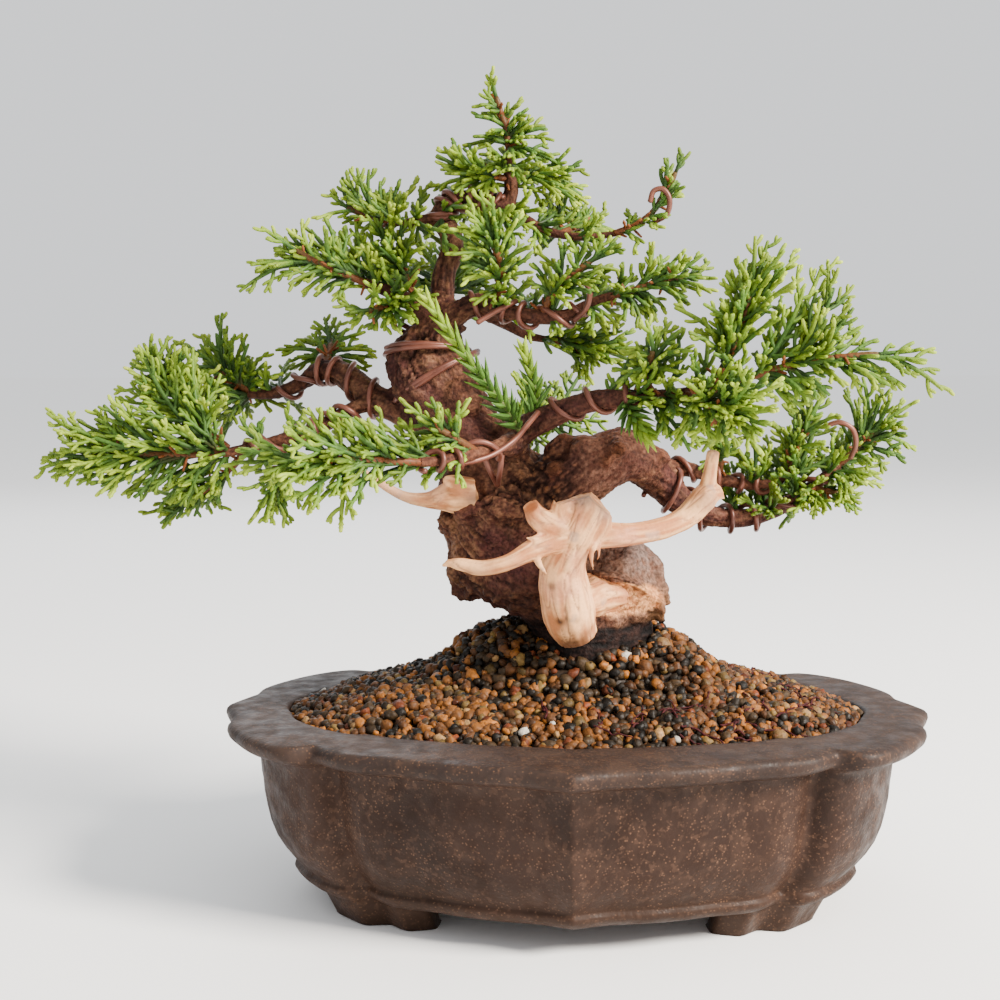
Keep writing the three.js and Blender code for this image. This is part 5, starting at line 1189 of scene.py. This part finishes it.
# More fronds, on the branches themselves: the place along a branch and the tips that start there.
FILLERS = {
    "right_front": [
        ("front_right", 0.5, [(11, 144.5, -26), (15.5, 150.5, -28), (9, 139, -20)]),
        ("front_right", 0.6,
         [(18.5, 153.5, -30), (23, 147.5, -42), (21.5, 136, -44), (17.5, 133.5, -24)]),
        ("front_right", 0.7, [(26.5, 144.5, -46), (27.5, 133.5, -46), (24.5, 141, -18),
            (23, 128, -36), (29, 156.5, -24)]),
        ("front_right", 0.8, [(32.5, 151, -46), (35.5, 144, -50), (32.5, 136, -52),
            (27.5, 125.5, -34), (32.5, 128, -42), (37, 156.5, -28)]),
        ("front_right", 0.9, [(41.5, 151, -50), (45.5, 146, -54), (45.5, 136, -52), (36, 124, -32),
            (48, 152, -46), (39.5, 144.5, -22)]),
        ("front_right", 1, [(53, 150.5, -46), (68.5, 175.5, -36), (63.5, 169, -40), (69, 141, -32),
            (63.5, 136, -36), (56.5, 156.5, -30), (55, 139, -26)]),
        ("front_right", 0.65,
         [(35.5, 137, -36), (39, 131, -40), (32.5, 124, -32), (42.5, 126.5, -36)]),
        ("front_right", 0.5, [(18.5, 144.5, -30), (23, 139, -34), (15.5, 137, -28)]),
    ],
    "right_low": [
        ("right_upper", 0.75, [(46.5, 123.5, 8), (50, 128, 18), (43.5, 126.5, 20), (53.5, 124, 2)]),
        ("right_upper", 1, [(56.5, 130, 14), (60.5, 125.5, 6), (63.5, 130, 20), (55, 117.5, 4),
            (65, 122, 10), (67, 134, 14)]),
        ("right", 0.74, [(48, 117, 22), (52.5, 115, 26), (46.5, 111, 8)]),
        ("right", 0.84,
         [(60.5, 119.5, 2), (58, 123.5, 28), (63.5, 115, 28), (65, 108.5, 10), (69.5, 117, 8)]),
        ("right", 0.95, [(72, 128.5, 16), (75.5, 124, 12), (71.5, 121, 28), (76.5, 116.5, 14),
            (69.5, 111, 22), (67.5, 125.5, 24)]),
        ("right", 1, [(78, 126, 20), (81, 121.5, 24), (80, 114.5, 18), (77.5, 131, 24)]),
        ("right", 0.66, [(40, 124, 24), (44, 121, 28), (41.5, 117, 18)]),
        ("right", 0.76, [(50, 108.5, -2), (54.5, 106.5, 2), (56.5, 112.5, -4), (49, 121.5, 30)]),
        ("right", 0.88,
         [(61.5, 106.5, 4), (67, 105, 10), (63.5, 111.5, -2), (70.5, 107.5, 2), (59.5, 116.5, 30)]),
        ("right", 0.97, [(74, 108.5, 8), (78, 108, 18), (76, 112, 4), (83, 117, 12)]),
    ],
    "crown": [
        ("leader", 0.93,
         [(-24.5, 206.5, 4), (-25.5, 202, -4), (-15, 198.5, -8), (-11.5, 201, 8), (-29, 199, 8)]),
        ("leader", 0.99, [(-15, 207.5, 9), (-10.5, 206.5, -4), (-6, 205.5, 4), (-3, 202.5, 8),
            (-20.5, 211, 10), (-16.5, 204, -10)]),
        ("crown_right", 0.1, [(-12, 196.5, -6), (-14, 194, 10), (-9.5, 191.5, -6)]),
        ("crown_right", 0.35,
         [(-5, 190.5, 4), (-0.5, 188.5, -8), (-8, 181.5, -4), (-12, 181, -10), (-6.5, 194, 12)]),
        ("crown_right", 0.7, [(1, 184, 2), (-3, 180, 4), (6.5, 189.5, -10), (7.5, 181.5, -8)]),
        ("crown_left", 0.6,
         [(-41, 196, 4), (-43, 191.5, -4), (-39.5, 199, 8), (-37.5, 183, 10), (-33, 185, -12)]),
        ("leader", 0.42, [(-29, 191.5, -12), (-32.5, 196, 12), (-35, 179, -10)]),
        ("leader", 0.7, [(-20.5, 189, -14), (-24.5, 184.5, -16), (-16.5, 181.5, -12)]),
        ("leader", 0.85, [(-9.5, 196, 2), (-12.5, 199.5, 10), (-26, 196, 8)]),
    ],
    "upper_right": [
        ("upper_right", 0.35,
         [(-17.5, 170.5, -14), (-13, 171.5, -6), (-20.5, 167, -14), (-11, 156.5, -8)]),
        ("upper_right", 0.62,
         [(-3.5, 173.5, -4), (-5, 156.5, -12), (1, 158.5, -2), (-7, 175.5, -16)]),
        ("upper_right", 0.85,
         [(9, 175.5, -8), (7.5, 171.5, -2), (12.5, 158.5, -10), (4.5, 156.5, -14)]),
        ("upper_right", 1, [(13.5, 176.5, -14), (16.5, 173.5, -6), (12, 170.5, -16),
            (18.5, 169, -10), (21, 161.5, -4)]),
        ("under_right", 0.8, [(7.5, 161.5, 2), (-0.5, 151, 10), (-5, 153.5, 0)]),
        ("under_right", 1, [(13.5, 157.5, 6), (5.5, 156, 12), (15, 147.5, 4), (8.5, 150.5, -2)]),
    ],
    "upper_left": [
        ("upper_left", 0.5, [(-49.5, 173, 8), (-47.5, 165, -12), (-53.5, 175.5, -12)]),
        ("upper_left", 0.8,
         [(-56.5, 164.5, -10), (-61, 189, 2), (-62, 181, 10), (-57.5, 181.5, -12)]),
        ("upper_left", 1, [(-73.5, 186, 2), (-69, 189, -3), (-65.5, 185.5, 6), (-68, 181, -8),
            (-76.5, 181.5, -4), (-71.5, 175.5, 8)]),
        ("crown_left", 1, [(-56.5, 194, -4), (-53, 197, 6), (-54, 187, 10), (-49.5, 189.5, -8)]),
    ],
    "left": [
        ("left", 0.9, [(-87, 147.5, 8), (-92, 151, 20)]),
        ("left", 1, [(-100.5, 137, 12), (-96, 141.5, 20), (-103, 141.5, 6), (-97.5, 132.5, 10),
            (-91.5, 135, 22), (-104.5, 134, 0), (-107.5, 144.5, 14)]),
        ("left_low", 0.55, [(-76.5, 134.5, 2), (-81.5, 136, -16), (-79.5, 122, -10)]),
        ("left_low", 0.75, [(-89, 132.5, -4), (-93.5, 118.5, -4), (-87, 121.5, -16), (-85, 116, -6),
            (-94.5, 134, -12)]),
        ("left_low", 0.95,
         [(-100, 128.5, -16), (-97.5, 114.5, -2), (-107.5, 119.5, -18), (-103, 112.5, -8)]),
        ("left_low", 1, [(-118.5, 154.5, 2), (-121.5, 150.5, -4), (-125.5, 143.5, 4),
            (-114, 152, 8), (-107.5, 153.5, -4), (-122.5, 146.5, 9), (-125.5, 111, -8),
            (-118, 108, -2), (-110, 108, 0)]),
    ],
    "front_left": [
        ("front_left", 0.7, [(-47, 131, -36), (-43, 128, -34), (-44.5, 120, -36)]),
        ("front_left", 0.85,
         [(-52.5, 128.5, -40), (-49, 125, -42), (-52.5, 117, -46), (-55.5, 133.5, -48)]),
        ("front_left", 1, [(-62.5, 131, -52), (-65.5, 135.5, -60), (-68, 125.5, -48),
            (-62, 114.5, -52), (-71, 119.5, -66)]),
    ],
    "back": [
        ("back", 0.55, [(-26, 136, 34), (-8, 138, 30), (-20, 122, 38)]),
        ("back", 0.75,
         [(-24, 140, 44), (-4, 142, 40), (-16, 146, 46), (-10, 120, 46), (-28, 130, 50)]),
        ("back", 1, [(-14, 150, 54), (2, 146, 56), (-20, 138, 60), (-2, 124, 60), (8, 132, 50),
            (-12, 130, 66)]),
        ("back_high", 0.55, [(-50, 160, 22), (-26, 160, 26), (-38, 176, 18)]),
        ("back_high", 0.8,
         [(-54, 172, 36), (-18, 174, 38), (-44, 184, 34), (-26, 186, 30), (-38, 158, 48)]),
        ("back_high", 1, [(-44, 182, 50), (-26, 184, 52), (-36, 192, 42), (-54, 178, 46),
            (-16, 178, 48), (-34, 168, 58)]),
        ("leader", 0.5, [(-28, 190, 26), (-46, 186, 22), (-38, 198, 20)]),
        ("leader", 0.9,
         [(-10, 198, 24), (-26, 204, 22), (-16, 210, 18), (-14, 200, -18), (-24, 208, -16)]),
        ("upper_right", 0.5, [(-12, 168, 14), (-4, 176, 10), (-20, 172, 16)]),
        ("upper_right", 0.85, [(6, 172, 12), (14, 164, 10), (0, 158, 14)]),
        ("crown_right", 0.5, [(-6, 196, 18), (4, 190, 20), (-10, 184, 22)]),
        ("upper_left", 0.7, [(-56, 176, 20), (-64, 170, 14), (-50, 184, 18)]),
        ("left", 0.85, [(-80, 150, 34), (-88, 142, 36), (-76, 136, 32), (-94, 148, 30)]),
        ("left", 0.98, [(-104, 140, 34), (-98, 132, 36), (-108, 148, 26), (-100, 126, 28)]),
        ("right", 0.8, [(56, 118, 38), (66, 122, 42), (50, 112, 36), (60, 104, 34)]),
        ("right", 0.95, [(76, 126, 42), (84, 118, 40), (70, 112, 44), (80, 134, 36)]),
        ("right_upper", 0.95, [(58, 128, 34), (68, 134, 32), (52, 124, 32)]),
    ],
}


def leaf_colour(tone):
    return np.stack([np.interp(tone, TONES, TONE_COLOURS[:, k]) for k in range(3)], -1)


def bent(a, b, c, share):
    """The curve from a to c, drawn towards b."""
    return mix(mix(a, b, share), mix(b, c, share), share)


class Cords:
    """Cords of scale leaves: a curve bent over three points, a radius, and a tone at each end."""

    def __init__(self):
        self.rows = []

    def add(self, root, bend, tip, radius, first_tone, last_tone, shade=1.0):
        self.rows.append(np.concatenate([root, bend, tip, [radius, first_tone, last_tone, shade]]))

    def shell(self):
        """All the cords as one shell, with their colours."""
        rows = np.array(self.rows)
        root, bend, tip = rows[:, 0:3], rows[:, 3:6], rows[:, 6:9]
        length = np.linalg.norm(bend - root, axis=1) + np.linalg.norm(tip - bend, axis=1)
        steps = np.clip(np.round(length / LEAF_STEP).astype(int) + 1, 4, 60)
        shells, tints = [], []
        for count in np.unique(steps):
            some = steps == count
            r, b, t = (places[some, None] for places in (root, bend, tip))
            radius, first_tone, last_tone, shade = rows[some, 9:, None].transpose(1, 0, 2)
            share = np.linspace(0, 1, count)
            s = share[:, None]
            paths = (1 - s) ** 2 * r + 2 * s * (1 - s) * b + s**2 * t
            parity = np.where(np.arange(count) % 2, 1.0, -1.0)[:, None]
            leafy = 1 + 0.24 * parity * np.cos(2 * around(CORD_SIDES)) + 0.1 * parity
            taper = 0.86 + 0.16 * share - 0.36 * share**6
            shells.append(tubes(paths, radius[..., None] * leafy * taper[:, None]))
            tone = mix(first_tone, last_tone, share)
            tone = np.concatenate([np.repeat(tone, CORD_SIDES, 1), tone[:, :1], tone[:, -1:]], 1)
            tints.append((0.9 * leaf_colour(tone) * shade[..., None]).reshape(-1, 3))
        return merged(shells), np.concatenate(tints)


def frond(cords, root, forward, tip, seed, tone):
    """A loose fan of cords on a bent axis from root to tip."""
    length = np.linalg.norm(tip - root)
    face = unit([1.4 * (draw(seed, 1) - 0.5), -0.3 - 0.6 * draw(seed, 2), 0.75])
    bend = mix(root + 0.5 * length * forward, mix(root, tip, 0.5), 0.5)
    shade = 0.68 + 0.5 * draw(seed, 31)
    tone += 0.3 * (draw(seed, 34) - 0.5)
    tip_tone = tone + 0.2 + 0.3 * draw(seed, 33)
    cords.add(root, bend, tip, AXIS_RADIUS, tone - 0.45, tip_tone, shade)
    shoots = max(round(length / 3.2), 4)
    first = draw(seed, 35) > 0.5
    for i in range(shoots):
        side = 1 if (i % 2 == 0) == first else -1
        share = 0.08 + 0.88 * (i + 0.2 + 0.6 * draw(seed, 40 + i)) / shoots
        start = bent(root, bend, tip, share)
        along = unit(bent(root, bend, tip, min(share + 0.05, 1))
                     - bent(root, bend, tip, share - 0.05))
        across = unit(np.cross(along, face))
        across = unit(across + (draw(seed, 70 + i) - 0.5) * 1.7 * np.cross(across, along))
        longest = min(0.64 * length * (1 - 0.7 * share), 17)
        reach = max(longest * (0.4 + 0.7 * draw(seed, 100 + i)), 2.4 + 1.6 * draw(seed, 101 + i))
        angle = SHOOT_ANGLE + 0.4 * (draw(seed, 130 + i) - 0.5)
        outward = math.cos(angle) * along + side * math.sin(angle) * across
        early = math.cos(angle + 0.3) * along + side * math.sin(angle + 0.3) * across
        end = start + outward * reach
        middle = start + early * reach * 0.5
        here = mix(tone, tip_tone, share)
        end_tone = here + 0.12 + 0.3 * draw(seed, 160 + i)
        cords.add(start, middle, end, SHOOT_RADIUS, here - 0.15, end_tone, shade)
        twigs = int(np.clip((reach - 2) / 2.6, 0, 4) + 0.5 * draw(seed, 180 + i))
        for k in range(twigs):
            place = 0.28 + 0.6 * (k + 0.2 + 0.6 * draw(seed, 200 + 4 * i + k)) / twigs
            twig = 1.5 + 0.4 * reach * (1 - place) * (0.4 + 0.8 * draw(seed, 300 + 4 * i + k))
            base = bent(start, middle, end, place)
            aside = np.cross(outward, np.cross(across, along)) * (side if k % 2 else -side)
            spread = 0.45 + 0.4 * draw(seed, 500 + 4 * i + k)
            way = unit(math.cos(spread) * outward + math.sin(spread) * aside)
            base_tone = mix(here, end_tone, place)
            cords.add(base, base + way * twig * 0.5 + aside * 0.15, base + way * twig,
                      TWIG_RADIUS, base_tone - 0.08, base_tone + 0.2, shade)


def spray_cords(index, stem, tips):
    """A spray: its stem, a frond to each tip, one between each two tips, and dead scraps."""
    cords = Cords()
    places = seen(stem)
    parts = len(places) - 1
    for k in range(parts):
        a, b = k / parts, (k + 1) / parts
        first, half, last = spline(places, [a, (a + b) / 2, b])
        cords.add(first, 2 * half - (first + last) / 2, last,
                  STEM_RADIUS * (1 - 0.18 * a), -1.0, -0.95 + 0.5 * b)
    run = spline(places, np.linspace(0, 1, STEM_STEPS + 1))
    leave = unit(np.gradient(run, axis=0))
    shares, ends = [tip[0] for tip in tips], seen([tip[1:] for tip in tips])
    fronds = [(share, end, index * 20 + i, 0.42)
              for i, (share, end) in enumerate(zip(shares, ends))]
    for i in range(len(tips)):
        k = (i + 1) % len(tips)
        seed = index * 20 + i + 7000
        jitter = np.array([draw(seed, j) - 0.5 for j in (11, 12, 13)]) * [4, 7, 4]
        end = mix(mix(ends[i], ends[k], 0.5), ends.mean(0), 0.1) + jitter
        fronds.append(((shares[i] + shares[k]) / 2 * 0.7, end, seed, 0.2))
    for share, tip, seed, tone in fronds:
        place = int(share * STEM_STEPS)
        frond(cords, run[place], leave[place], tip, seed, tone)
    for k in range(SCRAPS):
        place = int(55 * draw(index, 90 + k))
        side = unit([draw(index, 110 + 3 * k + j) - 0.5 for j in range(3)])
        tip = run[place] + (2 + 3 * draw(index, 150 + k)) * unit(side + 0.6 * leave[place])
        cords.add(run[place], mix(run[place], tip, 0.5), tip,
                  SCRAP_RADIUS, -1.0, -0.9, 1.2 + 0.8 * draw(index, 170 + k))
    return cords


def filler_cords(index, starts):
    """Fronds that start from the branches themselves."""
    cords = Cords()
    for i, (branch, share, tips) in enumerate(starts):
        before, root = spline(in_space(BRANCHES[branch])[:, :3], [share - 0.02, share])
        along = unit(root - before)
        for k, tip in enumerate(seen(tips)):
            forward = unit(along + 0.6 * unit(tip - root))
            frond(cords, root, forward, tip, 9000 + 400 * index + 20 * i + k, 0.3)
    return cords


for index, (name, (stem, tips)) in enumerate(SPRAYS.items(), 1):
    shell, tint = spray_cords(index, stem, tips).shell()
    make(name.replace("spray", "fronds"), shell, LEAF, tint=tint, replaces=[name])
for index, (name, starts) in enumerate(FILLERS.items(), 1):
    shell, tint = filler_cords(index, starts).shell()
    make("fronds_along_" + name, shell, LEAF, tint=tint)

# Sprigs of pointed young leaves: the stem, the number of whorls and the leaf length.
SPRIGS = {
    "sprig_left": (
        [(-15, 129.5, -17), (-19, 136, -24), (-26, 145, -29), (-34, 156, -32), (-42, 168, -35)], 22,
        7.5,
    ),
    "sprig_middle": (
        [(-12, 131, -15), (-10.5, 138, -16), (-12, 146, -17), (-14.5, 154, -18)], 12, 7.5,
    ),
    "sprig_right": ([(14, 138, -29), (17, 133, -37), (21, 127.5, -42)], 11, 8),
}
SPRIG_STEPS = 24
BLADE = np.array([0.55, 0.75, 0.72, 0.55, 0.32, 0.06])  # a young leaf's radii from foot to point
BLADE_SIDES = 5


def tapered(paths, first, last):
    """Thin tubes whose radius goes from first to last."""
    paths = np.array(paths)
    count, steps, _ = paths.shape
    radii = np.linspace(first, last, steps)[None, :, None]
    return tubes(paths, radii * np.ones((count, steps, CORD_SIDES)))


def sprig(stem, whorls, leaf, seed):
    places = seen(stem)
    shells = [tapered([spline(places, np.linspace(0, 1, SPRIG_STEPS))], 0.85, 0.6)]
    tints = [np.tile((0.10, 0.13, 0.035), (len(shells[0][0]), 1))]
    blades, tones = [], []
    s = np.linspace(0, 1, len(BLADE))[:, None]
    for i in range(whorls):
        share = 0.05 + 0.95 * i / whorls
        at, ahead = spline(places, [share, min(share + 0.02, 1)])
        along = unit(ahead - at) if share < 0.97 else unit(places[-1] - places[-2])
        across = unit(np.cross(along, [0.2, 1, 0.1]))
        for k in range(3):
            turn = 2 * math.pi * k / 3 + i * 1.05 + 0.4 * draw(seed, 3 * i + k)
            out = math.cos(turn) * across + math.sin(turn) * np.cross(along, across)
            size = leaf * (1 - 0.45 * share) * (0.8 + 0.4 * draw(seed, 300 + 3 * i + k))
            lean = math.radians(42 - 16 * share)
            way = math.cos(lean) * along + math.sin(lean) * out
            blades.append(at + way * size * s + along * size * 0.12 * s**2)
            tones.append(0.12 + 0.7 * share**2 + 0.25 * draw(seed, 500 + 3 * i + k))
    widths = np.repeat((BLADE * (0.7 + 0.04 * leaf))[:, None], BLADE_SIDES, 1)
    shells.append(tubes(np.array(blades), np.array([widths] * len(blades))))
    tints.append(leaf_colour(np.repeat(tones, len(BLADE) * BLADE_SIDES + 2)))
    return merged(shells), np.concatenate(tints)


for seed, (name, (stem, whorls, leaf)) in enumerate(SPRIGS.items(), 1):
    shell, tint = sprig(stem, whorls, leaf, seed)
    make(name + "_leaves", shell, LEAF, tint=tint, replaces=[name])

# ---- What lies on the soil -----------------------------------------------------------------
# Fine roots: where each starts, its length and its heading.
ROOTS = [
    (22, -34, 14, 0.3), (28, -38, 18, 0.2), (36, -36, 16, -0.2), (45, -33, 20, 0.1),
    (52, -28, 18, 0.5), (14, -40, 12, 0.4), (58, -20, 16, 0.9), (40, -39, 14, 0.0),
    (4, -41, 12, -0.3), (33, -30, 13, 1.2), (-8, -38, 11, 0.8), (48, 5, 14, 0.3),
    (55, -8, 15, -0.4), (64, -16, 12, 0.7), (26, -42, 12, -0.1),
]
ROOT_BENDS, ROOT_STEPS = 9, 30


def root_path(x, y, length, heading, seed):
    places = []
    for k in range(ROOT_BENDS):
        heading += 0.9 * (draw(seed, k) - 0.5)
        x += math.cos(heading) * length / ROOT_BENDS
        y += math.sin(heading) * length / ROOT_BENDS
        height, _ = mound_height(np.array([[x, y]]))
        places.append((x, y, height[0] + 1.3 + 1.1 * draw(seed, 20 + k)))
    return spline(places, np.linspace(0, 1, ROOT_STEPS))


roots = [root_path(*root, seed) for seed, root in enumerate(ROOTS, 1)]
for s, (x, y, length, heading) in enumerate(ROOTS, 1):  # a side root near each
    roots.append(root_path(x + 3 * draw(s, 5) - 1, y + 3 * draw(s, 6), length * 0.7,
                           heading + 1.5 * draw(s, 7), s + 50))
make("fine_roots", tapered(roots, 0.34, 0.16), BARK, tint=np.array([(0.04, 0.008, 0.009)]))

# ---- The solids that stay as they are ------------------------------------------------------
KEPT = {"drain_mesh_left": PLASTIC, "drain_mesh_right": PLASTIC, "tie_wire": BARE_WIRE}
for node, material in KEPT.items():
    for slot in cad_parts[node].material_slots:
        slot.material = material

# ---- Floor, light and camera, in metres ----------------------------------------------------
FLOOR_HALF = 60
floor_corners = FLOOR_HALF * np.array([(-1, -1, 0), (1, -1, 0), (1, 1, 0), (-1, 1, 0)], float)
floor = placed("floor", make_mesh("floor", floor_corners, np.array([(0, 1, 2), (0, 2, 3)])))
paper = Finish("paper", Base_Color=(0.985, 0.98, 0.97, 1), Roughness=0.95, Specular_IOR_Level=0.0)
floor.data.materials.append(paper.material)

world = bpy.data.worlds.new("studio")
bpy.context.scene.world = world
world.use_nodes = True
background = world.node_tree.nodes["Background"]
background.inputs["Color"].default_value = (0.94, 0.955, 0.98, 1)
background.inputs["Strength"].default_value = 1.2

LAMPS_LOOK_AT = np.array([0, 0, 0.1])  # the middle of the tree


def lamp(name, place, size, power, colour):
    """A round soft box that looks at the tree."""
    light = bpy.data.lights.new(name, "AREA")
    light.shape, light.size, light.energy, light.color = "DISK", size, power, colour
    obj = placed(name, light)
    obj.visible_camera = False
    obj.location = place
    x, y, z = LAMPS_LOOK_AT - place
    pitch, heading = math.atan2(z, math.hypot(x, y)), math.atan2(y, x)
    obj.rotation_euler = (math.pi / 2 + pitch, 0, heading - math.pi / 2)


lamp("key", (1.0, -0.55, 0.8), 0.45, 72, (1.0, 0.93, 0.84))
lamp("back", (-0.3, 1.1, 0.9), 0.9, 6, (0.92, 0.96, 1.0))

# The camera, fitted to the pot's rim and feet as they appear in the photograph.
camera = placed("camera", bpy.data.cameras.new("camera"))
camera.data.sensor_width = 36
camera.data.lens = 55.44
camera.data.clip_start = 0.01
camera.location = ((EYE[0] + SHIFT[0]) / 1000, -0.4327, 0.1460)
camera.rotation_euler = (math.radians(90 - 4.72), math.radians(0.156), math.radians(2.8))
bpy.context.scene.camera = camera
